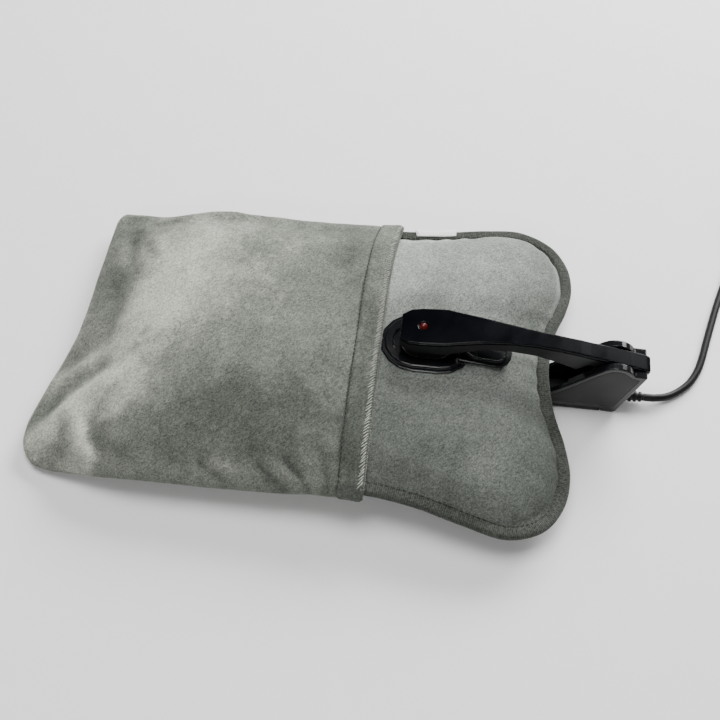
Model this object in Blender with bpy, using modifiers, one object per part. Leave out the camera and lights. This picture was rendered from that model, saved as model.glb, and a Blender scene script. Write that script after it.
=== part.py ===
"""Electric hot water bottle: a plush water pad in its sleeve, docked in its charging clip.

Metres, +Z up, floor at Z = 0. X runs from the sleeve's closed end to the clip's cord,
and the object is centred on Y = 0.
"""
import math

import bmesh
import bpy
import numpy as np
from mathutils import Matrix, Vector

# Fits shared by every piece
GAP = 0.0003                    # between two pieces that touch
OVERRUN = 0.002                 # how far a cutter passes the face that it cuts
ROUND_STEPS = 24                # sides of a turned piece

# Water pad, measured from the sleeve's mouth
MOUTH_X = 0.020                 # where the sleeve's mouth lies over the pad
HEAD_LENGTH = 0.112             # mouth to the tips of the two open lobes
TAIL_LENGTH = 0.170             # mouth to the pad's far end in the sleeve
LOBE_HALF_WIDTH = 0.104
WAIST_HALF_WIDTH = 0.0905
SEAM_HEIGHT = 0.018             # of the edge seam over the floor, inside the sleeve
SEAT_DIP = 0.0005               # of the flange's seat under the crown
PLUSH_THICKNESS = 0.0012
EDGE_WIDTH = 0.009              # flat sewn edge outside the swelling
EDGE_HALF_THICKNESS = 0.00135   # both plush layers lie within twice this
GROUND_CLEARANCE = 0.0007       # under the open lobes
TOP_POWER = 2.6                 # how square the swelling is, above and below
BOTTOM_POWER = 4.0
LOOP_STEPS = 2                  # points of the outline per stretch

# Open half of the outline: along the head, across it, and height of the seam
HEAD_SHARES = [
    (0.870, 0.000, 1.17), (0.900, 0.250, 1.08), (0.960, 0.440, 0.92), (0.990, 0.610, 0.84),
    (0.965, 0.780, 0.82), (0.875, 0.925, 0.82), (0.705, 1.000, 0.84), (0.500, 0.968, 0.90),
    (0.260, 0.905, 0.97),
]
# Covered half of the outline: along the tail, across it
TAIL_SHARES = [
    (0.000, 1.000), (0.412, 0.996), (0.735, 0.978), (0.905, 0.890), (0.985, 0.640),
    (1.000, 0.300), (0.996, 0.000),
]
DOME_SHARES = [0.0, 0.20, 0.50, 0.75, 0.88, 0.95, 0.985, 1.0]

# Edge binding
BINDING_WIDTH = 0.0072
BINDING_HALF_THICKNESS = 0.0024
BINDING_LEG = 0.00075

# Blank care label folded over the binding
LABEL_X = 0.046
LABEL_LENGTH = 0.024
LABEL_WIDTH = 0.0060
LABEL_THICKNESS = 0.0005
LABEL_OVERHANG = 0.0008

# Bladder
BLADDER_CLEARANCE = 0.0014      # to the inside of the plush
BLADDER_WALL = 0.0010
BLADDER_SHARES = [0.03, 0.30, 0.60, 0.82, 0.94, 1.0]
BLADDER_STRIDE_STEPS = 2        # takes every second point of the outline
BLADDER_FLOOR_CLEARANCE = 0.0020  # more room under it than over it
BLADDER_LEAD = 0.0120           # its underside clears the jaw this far ahead

# Sleeve
SLEEVE_THICKNESS = 0.0020
SLEEVE_EASE = 0.0009            # between pad and sleeve
SLEEVE_OVERHANG = 0.0055        # how far it keeps the binding's level beyond the pad's end
SLEEVE_HALF_WIDTH = 0.0926      # to the side seam
SLEEVE_END_X = 0.1605           # middle of the closed end, behind the origin
SLEEVE_NEAR_SKEW = 0.0120       # how much further the near corner of the closed end reaches
SLEEVE_NEAR_POWER = 1.6
SLEEVE_FAR_SKEW = 0.0015
SLEEVE_LIP_LEAD = 0.0032        # how far the lip's far corner is pulled forward
SLEEVE_CORNER_DRAWS = {1: 0.0035, -1: 0.0060}  # the closed end's far and near corners draw in
SLEEVE_CORNER_SHARE = 0.88
SLEEVE_END_HEIGHT = 0.0050      # of the empty flat end
SLEEVE_DROP_START_X = 0.140     # where the side seam starts to fall to the flat end
SLEEVE_DROP_END_X = 0.172
SLEEVE_SLIDE_STEP = 0.0060      # between the places of the pad that a part of the sleeve passes
SLEEVE_ALONG_SHARES = [0.0, 0.062, 0.074, 0.22, 0.37, 0.52, 0.655, 0.77, 0.853, 0.909, 0.945, 0.975, 1.0]
SLEEVE_ACROSS_SHARES = [0.0, 0.2, 0.4, 0.57, 0.70, 0.80, 0.88, 0.94, 0.9835, 1.0]
SLEEVE_TAUT_STEPS = 500
HEM_ROWS = 2                    # rows of the grid in the folded hem
HEM_THICKNESS = 0.0029

# Charging socket
SOCKET_X = 0.0470
FLANGE_HALF_LENGTH = 0.0265
FLANGE_HALF_WIDTH = 0.0193
FLANGE_STEP_HEIGHT = 0.0012
FLANGE_STEP_INSET = 0.0024
FLANGE_RIM_HEIGHT = 0.0027      # of the inner rim over the seat
FLANGE_EDGE_ROUND = 0.0005
RIM_WIDTH = 0.0022
NECK_WALL = 0.0016
LEDGE_DEPTH = 0.0022            # of the wide recess that the cap closes
LEDGE_MARGIN = 0.0024           # neck's outside to the wide recess
RECESS_HALF_LENGTH = 0.0150     # of the deep recess round the contacts
RECESS_HALF_WIDTH = 0.0098
RECESS_DEPTH = 0.0078
RECESS_FLOOR = 0.0013
NECK_DEPTH = 0.0135             # below the seat
SEAT_BLEND = 0.0160             # over which the pad turns flat around the flange
SEAT_MARGIN = 0.0015
CLAMP_WIDTH = 0.0040
CLAMP_THICKNESS = 0.0016
CLAMP_DROP = 0.0016             # under the bag's wall

# Contact pins
PIN_RADIUS = 0.0015
PIN_SPACING = 0.0090
PIN_RISE = 0.0045               # over the recess floor
PIN_TAIL = 0.0030               # into the dry chamber
PIN_CLEARANCE = 0.00015
PIN_COUNT = 3

# Heater under the socket
HEATER_PLATE_THICKNESS = 0.0016
CAGE_WALL = 0.0011
CAGE_DEPTH = 0.0070
CAGE_SLOT_WIDTH = 0.0022
CAGE_SLOT_PITCH = 0.0054
CAGE_SLOT_MARGIN = 0.0022       # solid strip over and under the side slots
CAGE_ROUND_SHARE = 0.6          # of the cage's round ends that is slotted too
CAGE_CLEARANCE = 0.0007         # to the bag's underside
ELEMENT_RADIUS = 0.0013
ELEMENT_HALF_LENGTH = 0.0125
ELEMENT_HALF_WIDTH = 0.0062
ELEMENT_BEND_POINTS = 9
ELEMENT_BEND_SHARE = 0.3
THERMOSTAT_RADIUS = 0.0065
THERMOSTAT_HEIGHT = 0.0030
THERMOSTAT_CAP_SHARE = 0.72
FUSE_RADIUS = 0.0017
FUSE_LENGTH = 0.0110

# Dust cap, lying open beside the socket
CAP_HALF_WIDTH = 0.0110
CAP_LENGTH = 0.0311
CAP_THICKNESS = 0.0017
CAP_EDGE_ROUND = 0.0003
CAP_CORNER_SHARE = 0.75
CAP_END_POINTS = 9
CAP_LIP_DEPTH = 0.0010
CAP_LIP_WIDTH = 0.0012
CAP_LIP_INSET = 0.0022
CAP_SLOPE = math.radians(9.0)
CAP_PIN_RADIUS = 0.0007
CAP_PIN_HEIGHT = 0.0031         # over the seat
CAP_PIN_SETBACK = 0.0095        # from the flange's end
CAP_BARREL_RADIUS = 0.0014
CAP_PIN_LENGTH = 0.0250
CAP_CLEARANCE = 0.0003

# Clip: hinge pin and widths
HINGE_X = 0.1520
HINGE_DROP = 0.0033             # under the flange's seat
HINGE_PIN_RADIUS = 0.0020
HINGE_PIN_CLEARANCE = 0.00015
BODY_HALF_WIDTH = 0.0100
SLOT_HALF_WIDTH = 0.0058
EDGE_BEVEL = 0.0007

# Clip: lower jaw
EAR_RADIUS = 0.0115
EAR_START = math.radians(141.0)
EAR_END = math.radians(30.0)
EAR_POINTS = 10
JAW_TIP_X = 0.0380
JAW_HEIGHT = 0.0070
JAW_RISE_SHARE = 0.7            # of the stretch from the mouth to the jaw's tip in which the pad rises on to it
BASE_HEIGHT = 0.0030
BODY_END_TOP_X = 0.1690
BODY_END_RISE = 0.0055          # of the slanted end's top over the hinge
BODY_END_FOOT_X = 0.1586
FRONT_RISE_X = 0.1030
FRONT_RISE_SHARES = [(0.0, 0.0), (0.17, 0.06), (0.33, 0.18), (0.49, 0.36), (0.66, 0.56), (0.83, 0.79)]
POCKET_WALL = 0.0026
POCKET_DROP = 0.0090            # of the hollow's roof under the hinge
POCKET_FRONT_X = 0.1170
POCKET_BACK_X = 0.1540
BASE_END_X = 0.1500
TONGUE_TIP_ROUND = 0.0060

# Clip: side panels
PANEL_THICKNESS = 0.0013
PANEL_RECESS = 0.0016
PANEL_BAND = 0.0024             # glossy band left around the ear
PANEL_BORDER = 0.0036           # along the slanted end
PANEL_FOOT = 0.0034             # over the base seam
PANEL_FIT = 0.00035
PANEL_FRONT_X = 0.1180

# Clip: small pieces of the lower jaw
GRIP_LENGTH = 0.0190
GRIP_HALF_WIDTH = 0.0075
GRIP_THICKNESS = 0.0016
GRIP_RISE = 0.0001
GRIP_RIB_DEPTH = 0.0005
GRIP_RIB_COUNT = 5
GRIP_LEAD_SHARE = 0.5           # of a rib left plain at the grip's end
SCREW_RADIUS = 0.0013
SCREW_HEAD_RADIUS = 0.0024
SCREW_HEAD_HEIGHT = 0.0013
SCREW_LENGTH = 0.0050
SCREW_SETBACK = 0.0003
SCREW_DRIVE_DEPTH = 0.0005
BASE_SCREW_XS = (0.070, 0.108)
SPRING_WIRE_RADIUS = 0.00055
SPRING_RADIUS = 0.0037
SPRING_TURNS = 3
SPRING_TURN_POINTS = 12
SPRING_PITCH = 0.0014
SPRING_LEG = 0.0090
SPRING_LEG_SHARES = (0.4, 1.0)
TERMINAL_LENGTH = 0.0090
TERMINAL_HALF_WIDTH = 0.0055
TERMINAL_HEIGHT = 0.0085
TERMINAL_CLEARANCE = 0.0012     # to the strain relief

# Clip: arm
ARM_TIP_X = 0.0317
ARM_END_X = 0.1705
ARM_CREST = 0.0226              # of the arm's top over the hinge
ARM_HEAD_HALF_WIDTH = 0.0121
LID_HEIGHT = 0.0026
LID_CHAMFER = 0.0007
LID_RECESS = 0.0010
SHELL_INSET = 0.0007            # lower shell behind the lid's edge
SHELL_WALL = 0.0014
SHELL_CHAMFER = 0.0008
HUB_RADIUS = 0.0064
# Along the arm, half width, height of the top, then of the underside
ARM_SHARES = [
    (0.000, 0.68, 0.850, 0.465), (0.035, 0.93, 0.885, 0.465), (0.080, 1.00, 0.920, 0.465),
    (0.180, 1.00, 0.975, 0.465), (0.210, 0.93, 0.985, 0.480), (0.330, 0.69, 1.000, 0.597),
    (0.435, 0.53, 0.955, 0.520), (0.545, 0.42, 0.867, 0.354), (0.640, 0.41, 0.770, 0.140),
    (0.715, 0.42, 0.680, -0.060), (0.755, 0.42, 0.620, 0.180), (0.820, 0.43, 0.540, 0.150),
    (0.920, 0.44, 0.400, 0.020), (0.985, 0.45, 0.290, 0.000), (1.000, 0.40, 0.255, 0.020),
]
NOSE_HALF_LENGTH = 0.0138
NOSE_HALF_WIDTH = 0.0088
NOSE_X = 0.0468
NOSE_FLOOR_GAP = 0.0006
EDGE_ROUND_SHARES = {"pin": 0.25, "fuse": 0.25, "lid": 0.33, "shell": 0.25, "tie": 0.5, "plug pin": 0.33}
NOSE_CHAMFER = 0.0010
CONTACT_RADIUS = 0.0028
CONTACT_BORE = 0.0022
CONTACT_HEIGHT = 0.0060
LED_X = 0.0441
LED_RADIUS = 0.0025
LED_RISE = 0.0012
LED_FLANGE_RADIUS = 0.0030
LED_FLANGE_HEIGHT = 0.0010
LED_DOME_POINTS = 4
BOARD_THICKNESS = 0.0012
BOARD_LENGTH = 0.0220
BOARD_HALF_WIDTH = 0.0078
BOARD_X = 0.0490
ARM_SCREW_X = 0.0765
BOSS_RADIUS = 0.0026

# Mains lead
CORD_RADIUS = 0.00225
RELIEF_INNER_X = 0.1545
RELIEF_END_X = 0.1745
RELIEF_HEIGHT = 0.0040          # of the lead's axis where it leaves the body
RELIEF_RADIUS = 0.0037
RELIEF_TIP_RADIUS = 0.0030
RELIEF_NECK_SHARE = 0.74
RELIEF_RIBS = 4
RELIEF_RIB_SHARE = 0.55         # of each pitch that is rib
RELIEF_RIB_START_X = 0.1630
CORD_HEIGHT = 0.0023
ROUTE = [                       # laid by hand on the floor, from the strain relief to the coil
    (0.1748, 0.0000, 0.0040), (0.1800, 0.0000, 0.0040), (0.1855, 0.0013, 0.0034),
    (0.1910, 0.0040, 0.0026), (0.1965, 0.0080, 0.0023), (0.2024, 0.0140, 0.0023),
    (0.2078, 0.0235, 0.0023), (0.2112, 0.0335, 0.0023), (0.2138, 0.0430, 0.0023),
    (0.2163, 0.0520, 0.0023), (0.2215, 0.0700, 0.0023), (0.2280, 0.0900, 0.0023),
    (0.2340, 0.1090, 0.0024), (0.2385, 0.1270, 0.0028), (0.2400, 0.1400, 0.0032),
    (0.2400, 0.1460, 0.0032),
]
ROUTE_SPACING = 0.0060
COIL_PITCH = 0.0051
COIL_INNER_RADIUS = 0.0194
COIL_TURNS = 2.5                # in each of the two layers
COIL_REVERSE_SHARE = 0.25       # of a turn by which the spiral's least radius is reached early
COIL_LOOP_POINTS = 24
COIL_TAIL_LENGTH = 0.0300
COIL_TAIL_SHARES = (0.25, 0.5, 0.75, 1.0)
COIL_LEAST_GAP = 0.0004
TIE_THICKNESS = 0.0006
TIE_WIDTH = 0.0070

# Plug
PLUG_SHARES = [(0.0, 0.0), (0.10, 0.10), (0.30, 0.45), (0.45, 0.85), (0.55, 1.0), (1.0, 1.0)]
PLUG_LENGTH = 0.0340
PLUG_HALF_WIDTH = 0.0177
PLUG_HALF_HEIGHT = 0.0069
PLUG_NECK_HALF_WIDTH = 0.0060
PLUG_NECK_HALF_HEIGHT = 0.0045
PLUG_BEVEL = 0.0016
PLUG_PIN_RADIUS = 0.0020
PLUG_PIN_LENGTH = 0.0190
PLUG_PIN_SPACING = 0.0186

# Values that follow from those above
HALF_TURN = math.pi
FULL_TURN = 2.0 * math.pi
NECK_HALF_LENGTH = FLANGE_HALF_LENGTH - FLANGE_STEP_INSET - RIM_WIDTH
NECK_HALF_WIDTH = FLANGE_HALF_WIDTH - FLANGE_STEP_INSET - RIM_WIDTH
PAD_ON_JAW = JAW_HEIGHT + 2 * GAP
BAG_ON_JAW = PAD_ON_JAW + PLUSH_THICKNESS + BLADDER_CLEARANCE + BLADDER_FLOOR_CLEARANCE + BLADDER_WALL
HEATER_HEIGHT = CAGE_DEPTH + GAP + HEATER_PLATE_THICKNESS + GAP
SEAT_Z = BAG_ON_JAW + CAGE_CLEARANCE + HEATER_HEIGHT + NECK_DEPTH
SOCKET_SEAT_HEIGHT = SEAT_Z - GAP           # flat place of the pad under the flange
CROWN_HEIGHT = SOCKET_SEAT_HEIGHT + SEAT_DIP
HINGE_HEIGHT = SOCKET_SEAT_HEIGHT - HINGE_DROP
BODY_END_TOP_HEIGHT = HINGE_HEIGHT + BODY_END_RISE
POCKET_TOP = HINGE_HEIGHT - POCKET_DROP
RIM_Z = SEAT_Z + FLANGE_RIM_HEIGHT
RECESS_Z = RIM_Z - RECESS_DEPTH
NECK_Z = SEAT_Z - NECK_DEPTH
HINGE = Vector((HINGE_X, 0.0, HINGE_HEIGHT))
CAP_HINGE = Vector((SOCKET_X + FLANGE_HALF_LENGTH - CAP_PIN_SETBACK, 0.0, SEAT_Z + CAP_PIN_HEIGHT))
CAP_TURN = Matrix.Translation(CAP_HINGE) @ Matrix.Rotation(CAP_SLOPE, 4, "Y")
COIL_OUTER_RADIUS = COIL_INNER_RADIUS + COIL_PITCH * COIL_TURNS
COIL_Z = CORD_RADIUS + TIE_THICKNESS + GAP + GAP / 2
COIL_CENTRE = Vector((ROUTE[-1][0] + COIL_OUTER_RADIUS, ROUTE[-1][1] + GAP + 2 * CORD_RADIUS, 0.0))


# Scene, collections and materials

def clear_scene():
    for obj in list(bpy.data.objects):
        bpy.data.objects.remove(obj, do_unlink=True)


def new_collection(name):
    collection = bpy.data.collections.new(name)
    bpy.context.scene.collection.children.link(collection)
    return collection


def make_material(name, colour, roughness, metallic=0.0):
    material = bpy.data.materials.new(name)
    material.use_nodes = True
    shader = material.node_tree.nodes["Principled BSDF"]
    shader.inputs["Base Color"].default_value = (*colour, 1.0)
    shader.inputs["Roughness"].default_value = roughness
    shader.inputs["Metallic"].default_value = metallic
    material.diffuse_color = (*colour, 1.0)
    return material


LOOKS = {
    "plush": ((0.300, 0.314, 0.284), 0.95, 0.0),
    "sleeve": ((0.285, 0.298, 0.268), 0.95, 0.0),
    "binding": ((0.130, 0.140, 0.124), 0.90, 0.0),
    "label": ((0.860, 0.860, 0.820), 0.80, 0.0),
    "bladder": ((0.420, 0.450, 0.460), 0.35, 0.0),
    "gloss_black": ((0.011, 0.012, 0.013), 0.28, 0.0),
    "satin_black": ((0.016, 0.017, 0.017), 0.45, 0.0),
    "grip_grey": ((0.038, 0.037, 0.038), 0.60, 0.0),
    "rubber": ((0.020, 0.020, 0.021), 0.70, 0.0),
    "steel": ((0.620, 0.620, 0.610), 0.30, 1.0),
    "brass": ((0.700, 0.520, 0.250), 0.30, 1.0),
    "board": ((0.030, 0.120, 0.050), 0.50, 0.0),
    "lamp": ((0.450, 0.010, 0.008), 0.12, 0.0),
    "ceramic": ((0.780, 0.760, 0.720), 0.55, 0.0),
}


def finish(obj, look, collection=None, pivot=None):
    """Give an object its collection, its own material and, on a moving piece, its empty."""
    for owner in list(obj.users_collection):
        owner.objects.unlink(obj)
    (collection or parts).objects.link(obj)
    if look:
        obj.data.materials.clear()
        obj.data.materials.append(make_material(obj.name, *LOOKS[look]))
    if pivot:
        obj.parent = pivot
        obj.matrix_parent_inverse = Matrix.Translation(pivot.location).inverted()
    return obj


def make_pivot(name, location):
    pivot = bpy.data.objects.new(name, None)
    pivot.location = location
    parts.objects.link(pivot)
    return pivot


# Solids

def mesh_object(name, vertices, faces, look, pivot=None, smooth=True):
    mesh = bpy.data.meshes.new(name)
    mesh.from_pydata([tuple(v) for v in vertices], [], faces)
    shaped = bmesh.new()
    shaped.from_mesh(mesh)
    bmesh.ops.recalc_face_normals(shaped, faces=shaped.faces)
    shaped.to_mesh(mesh)
    shaped.free()
    if smooth:
        mesh.shade_smooth()
        mesh.set_sharp_from_angle(angle=math.radians(35.0))
    return finish(bpy.data.objects.new(name, mesh), look, pivot=pivot)


def loft(name, rings, look, pivot=None, closed=False):
    """Skin rings of equal count, with flat ends, or joined end to end when closed."""
    count = len(rings[0])
    vertices = [point for ring in rings for point in ring]
    faces = []
    for row in range(len(rings) if closed else len(rings) - 1):
        after = (row + 1) % len(rings)
        for i in range(count):
            j = (i + 1) % count
            faces.append((row * count + i, row * count + j, after * count + j, after * count + i))
    if not closed:
        faces.append(tuple(range(count)))
        faces.append(tuple((len(rings) - 1) * count + i for i in range(count)))
    return mesh_object(name, vertices, faces, look, pivot)


def box(name, low, high, look, pivot=None, bevel=0.0, segments=2):
    low, high = Vector(low), Vector(high)
    bpy.ops.mesh.primitive_cube_add(size=1.0, location=(low + high) / 2)
    obj = bpy.context.object
    obj.name = name
    obj.data.name = name
    obj.data.transform(Matrix.Diagonal((*(high - low), 1.0)))
    if bevel:
        add_bevel(obj, bevel, segments)
    return finish(obj, look, pivot=pivot)


def add_bevel(obj, width, segments=2, angle=math.radians(40.0)):
    bevel = obj.modifiers.new("rounded edges", "BEVEL")
    bevel.width = width
    bevel.segments = segments
    bevel.limit_method = "ANGLE"
    bevel.angle_limit = angle
    return bevel


def cylinder(name, radius, start, end, look, pivot=None, bevel=0.0, sides=ROUND_STEPS):
    start, end = Vector(start), Vector(end)
    run = end - start
    bpy.ops.mesh.primitive_cylinder_add(vertices=sides, radius=radius, depth=run.length)
    obj = bpy.context.object
    obj.name = name
    obj.data.name = name
    obj.location = (start + end) / 2
    obj.rotation_euler = run.to_track_quat("Z", "Y").to_euler()
    obj.data.shade_smooth()
    obj.data.set_sharp_from_angle(angle=math.radians(35.0))
    if bevel:
        add_bevel(obj, bevel, 1)
    return finish(obj, look, pivot=pivot)


def turned(name, profile, origin, look, pivot=None, rotation=(0.0, 0.0, 0.0), steps=ROUND_STEPS):
    """Revolve a profile of (radius, height), listed from its top down the outside."""
    mesh = bpy.data.meshes.new(name)
    mesh.from_pydata([(r, 0.0, z) for r, z in profile], [(i, i + 1) for i in range(len(profile) - 1)], [])
    obj = bpy.data.objects.new(name, mesh)
    obj.location = origin
    obj.rotation_euler = rotation
    screw = obj.modifiers.new("turned", "SCREW")
    screw.angle = FULL_TURN
    screw.steps = steps
    screw.render_steps = steps
    screw.use_merge_vertices = True
    screw.merge_threshold = 0.00001
    return finish(obj, look, pivot=pivot)


def prism(name, outline, low, high, axis, look, pivot=None, bevel=0.0):
    """Extrude a flat outline: (x, y) along Z, or (x, z) along Y."""
    if axis == "Z":
        rings = [[(x, y, level) for x, y in outline] for level in (low, high)]
    else:
        rings = [[(x, level, z) for x, z in outline] for level in (low, high)]
    obj = loft(name, rings, look, pivot)
    if bevel:
        add_bevel(obj, bevel)
    return obj


def tube(name, points, radius, look, resolution=2, pivot=None):
    """A round wire along points, as a curve with filled ends."""
    curve = bpy.data.curves.new(name, "CURVE")
    curve.dimensions = "3D"
    curve.bevel_depth = radius
    curve.bevel_resolution = resolution
    curve.use_fill_caps = True
    spline = curve.splines.new("POLY")
    spline.points.add(len(points) - 1)
    for target, point in zip(spline.points, points):
        target.co = (*point, 1.0)
    return finish(bpy.data.objects.new(name, curve), look, pivot=pivot)


def cut(obj, cutter, operation="DIFFERENCE"):
    """Take a cutter out of an object, or add or keep what it covers."""
    for owner in list(cutter.users_collection):
        owner.objects.unlink(cutter)
    cutters.objects.link(cutter)
    cutter.hide_render = True
    cutter.display_type = "WIRE"
    boolean = obj.modifiers.new(cutter.name, "BOOLEAN")
    boolean.operation = operation
    boolean.solver = "EXACT"
    boolean.object = cutter


# Outlines and curves

def smooth_point(before, start, end, after, share):
    """Centripetal cubic through four points, at a share of the middle stretch."""
    first = (start - before).length ** 0.5
    middle = (end - start).length ** 0.5
    last = (after - end).length ** 0.5
    leave = ((start - before) / first - (end - before) / (first + middle) + (end - start) / middle) * middle
    arrive = ((end - start) / middle - (after - start) / (middle + last) + (after - end) / last) * middle
    square, cube = share ** 2, share ** 3
    return (start * (2 * cube - 3 * square + 1) + leave * (cube - 2 * square + share)
            + end * (3 * square - 2 * cube) + arrive * (cube - square))


def smooth_loop(points, steps):
    count = len(points)
    return [smooth_point(points[i - 1], points[i], points[(i + 1) % count], points[(i + 2) % count], k / steps)
            for i in range(count) for k in range(steps)]


def smooth_path(points, spacing):
    """An open smooth curve through points, with a point about every spacing."""
    points = [Vector(p) for p in points]
    padded = [2 * points[0] - points[1]] + points + [2 * points[-1] - points[-2]]
    path = []
    for i in range(1, len(points)):
        steps = max(1, round((padded[i + 1] - padded[i]).length / spacing))
        path += [smooth_point(*padded[i - 1:i + 3], k / steps) for k in range(steps)]
    return path + [points[-1]]


def stadium(half_length, half_width, z, centre_x=SOCKET_X, points=9):
    """An oval ring with round ends and straight sides."""
    straight = half_length - half_width
    ring = []
    for side in (1, -1):
        for k in range(points):
            angle = HALF_TURN * (k / (points - 1) - 0.5)
            ring.append((centre_x + side * (straight + half_width * math.cos(angle)),
                         side * half_width * math.sin(angle), z))
    return ring


def rounded_share(value, low, high):
    """Zero up to low, one from high, and smooth between."""
    share = min(1.0, max(0.0, (value - low) / (high - low)))
    return share * share * (3.0 - 2.0 * share)


# The pad's shape

def pad_outline():
    """Points (x, y, seam height) of the binding's outer edge, anticlockwise from +X."""
    upper = [(MOUTH_X + along * HEAD_LENGTH, across * LOBE_HALF_WIDTH, rise * SEAM_HEIGHT)
             for along, across, rise in HEAD_SHARES]
    upper += [(MOUTH_X - along * TAIL_LENGTH, across * WAIST_HALF_WIDTH, SEAM_HEIGHT)
              for along, across in TAIL_SHARES]
    lower = [(x, -y, z) for x, y, z in reversed(upper[1:-1])]
    return smooth_loop([Vector(p) for p in upper + lower], LOOP_STEPS)


def ray(point, distance):
    """The place on the line from the mouth's centre to an outline point, that far inside it."""
    run = Vector((point.x - MOUTH_X, point.y))
    reach = run.length - distance
    return run.normalized() * reach


def socket_nearness(x, y):
    """One on the flat place under the flange, falling to zero around it."""
    straight = FLANGE_HALF_LENGTH - FLANGE_HALF_WIDTH
    along = max(0.0, abs(x - SOCKET_X) - straight)
    distance = math.hypot(along, y) - FLANGE_HALF_WIDTH - SEAT_MARGIN
    return 1.0 - rounded_share(distance, 0.0, SEAT_BLEND)


def floor_height(x, y):
    """Height of the pad's underside where it lies flat: on the sleeve, the floor or the jaw."""
    on_sleeve = SLEEVE_THICKNESS + GAP
    base = on_sleeve + (GROUND_CLEARANCE - on_sleeve) * rounded_share(x, MOUTH_X, MOUTH_X + 2 * EDGE_WIDTH)
    shoulder = 2 * BODY_HALF_WIDTH
    over_jaw = 1.0 - rounded_share(abs(y), shoulder, 2 * shoulder)
    over_jaw *= rounded_share(x, MOUTH_X, MOUTH_X + JAW_RISE_SHARE * (JAW_TIP_X - MOUTH_X))
    return base + (PAD_ON_JAW - base) * over_jaw


def swell(share, power):
    return max(0.0, 1.0 - share ** power) ** 0.5


def top_height(x, y, share, seam):
    edge = seam + EDGE_HALF_THICKNESS
    height = edge + (CROWN_HEIGHT - edge) * swell(share, TOP_POWER)
    return height + (SOCKET_SEAT_HEIGHT - height) * socket_nearness(x, y) * swell(share, TOP_POWER)


def bottom_height(x, y, share, seam):
    edge = seam - EDGE_HALF_THICKNESS
    return edge - (edge - floor_height(x, y)) * swell(share, BOTTOM_POWER)


def panel_surface(outline, height, sign):
    """Vertices and faces of one plush layer: the swelling and its flat sewn edge."""
    count = len(outline)
    vertices = [(MOUTH_X, 0.0, height(MOUTH_X, 0.0, 0.0, SEAM_HEIGHT))]
    for share in DOME_SHARES[1:]:
        for point in outline:
            offset = ray(point, EDGE_WIDTH) * share
            x, y = MOUTH_X + offset.x, offset.y
            vertices.append((x, y, height(x, y, share, point.z)))
    for point in outline:
        offset = ray(point, BINDING_LEG + GAP)
        vertices.append((MOUTH_X + offset.x, offset.y, point.z + sign * EDGE_HALF_THICKNESS))
    faces = [(0, 1 + i, 1 + (i + 1) % count) for i in range(count)]
    for row in range(len(DOME_SHARES) - 1):
        first, second = 1 + row * count, 1 + (row + 1) * count
        faces += [(first + i, second + i, second + (i + 1) % count, first + (i + 1) % count)
                  for i in range(count)]
    return vertices, (faces if sign > 0 else [tuple(reversed(face)) for face in faces])


def make_panel(name, outline, height, sign):
    vertices, faces = panel_surface(outline, height, sign)
    mesh = bpy.data.meshes.new(name)
    mesh.from_pydata(vertices, [], faces)
    mesh.shade_smooth()
    obj = finish(bpy.data.objects.new(name, mesh), "plush")
    solid = obj.modifiers.new("plush", "SOLIDIFY")
    solid.thickness = PLUSH_THICKNESS
    solid.offset = -1.0
    solid.use_even_offset = True
    return obj


def neck_cutter(name, clearance, low, high):
    half_length, half_width = NECK_HALF_LENGTH + clearance, NECK_HALF_WIDTH + clearance
    return loft(name, [stadium(half_length, half_width, low), stadium(half_length, half_width, high)], None)


def build_panels(outline):
    top = make_panel("pad_top_panel", outline, top_height, 1)
    cut(top, neck_cutter("top_panel_hole", GAP, NECK_Z, SEAT_Z))
    make_panel("pad_bottom_panel", outline, bottom_height, -1)


def build_binding(outline):
    """The tape folded over the two plush layers, swept round the outline."""
    half, leg = BINDING_HALF_THICKNESS, BINDING_LEG
    inside = half - leg
    profile = [(0.0, -inside), (0.0, inside), (-leg, half), (-BINDING_WIDTH, half), (-BINDING_WIDTH, inside),
               (-leg, inside), (-leg, -inside), (-BINDING_WIDTH, -inside), (-BINDING_WIDTH, -half), (-leg, -half)]
    rings = []
    for point in outline:
        out = ray(point, 0.0)
        unit = out.normalized()
        rings.append([(MOUTH_X + out.x + unit.x * u, out.y + unit.y * u, point.z + v) for u, v in profile])
    loft("edge_binding", rings, "binding", closed=True)


def build_label(outline):
    """A blank label over the binding of the far edge."""
    edge = min((p for p in outline if p.y > 0), key=lambda p: abs(p.x - LABEL_X))
    low_z = edge.z + BINDING_HALF_THICKNESS + 2 * GAP
    outer = edge.y + LABEL_OVERHANG
    box("care_label", (LABEL_X - LABEL_LENGTH / 2, outer - LABEL_WIDTH, low_z),
        (LABEL_X + LABEL_LENGTH / 2, outer, low_z + LABEL_THICKNESS), "label")


def bladder_rings(outline, inset):
    """Rings of the bag, from the centre of its top over the rim to the centre of its underside."""
    points = outline[::BLADDER_STRIDE_STEPS]
    top, bottom = [], []
    for share in BLADDER_SHARES:
        for rings, height, sign in ((top, top_height, 1), (bottom, bottom_height, -1)):
            lead, room = (0.0, inset) if sign > 0 else (BLADDER_LEAD, inset + BLADDER_FLOOR_CLEARANCE)
            ring = []
            for point in points:
                offset = ray(point, EDGE_WIDTH + inset) * share
                x, y = MOUTH_X + offset.x, offset.y
                rise = sign * (height(x + lead, y, share, point.z) - point.z) - room
                ring.append((x, y, point.z + sign * max(0.0, rise)))
            rings.append(ring)
    return top + list(reversed(bottom[:-1]))


def build_bladder(outline):
    outer = PLUSH_THICKNESS + BLADDER_CLEARANCE
    bag = loft("water_bladder", bladder_rings(outline, outer), "bladder")
    cut(bag, loft("bladder_inside", bladder_rings(outline, outer + BLADDER_WALL), None))
    cut(bag, neck_cutter("bladder_hole", GAP, NECK_Z, SEAT_Z))


# The sleeve

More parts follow.
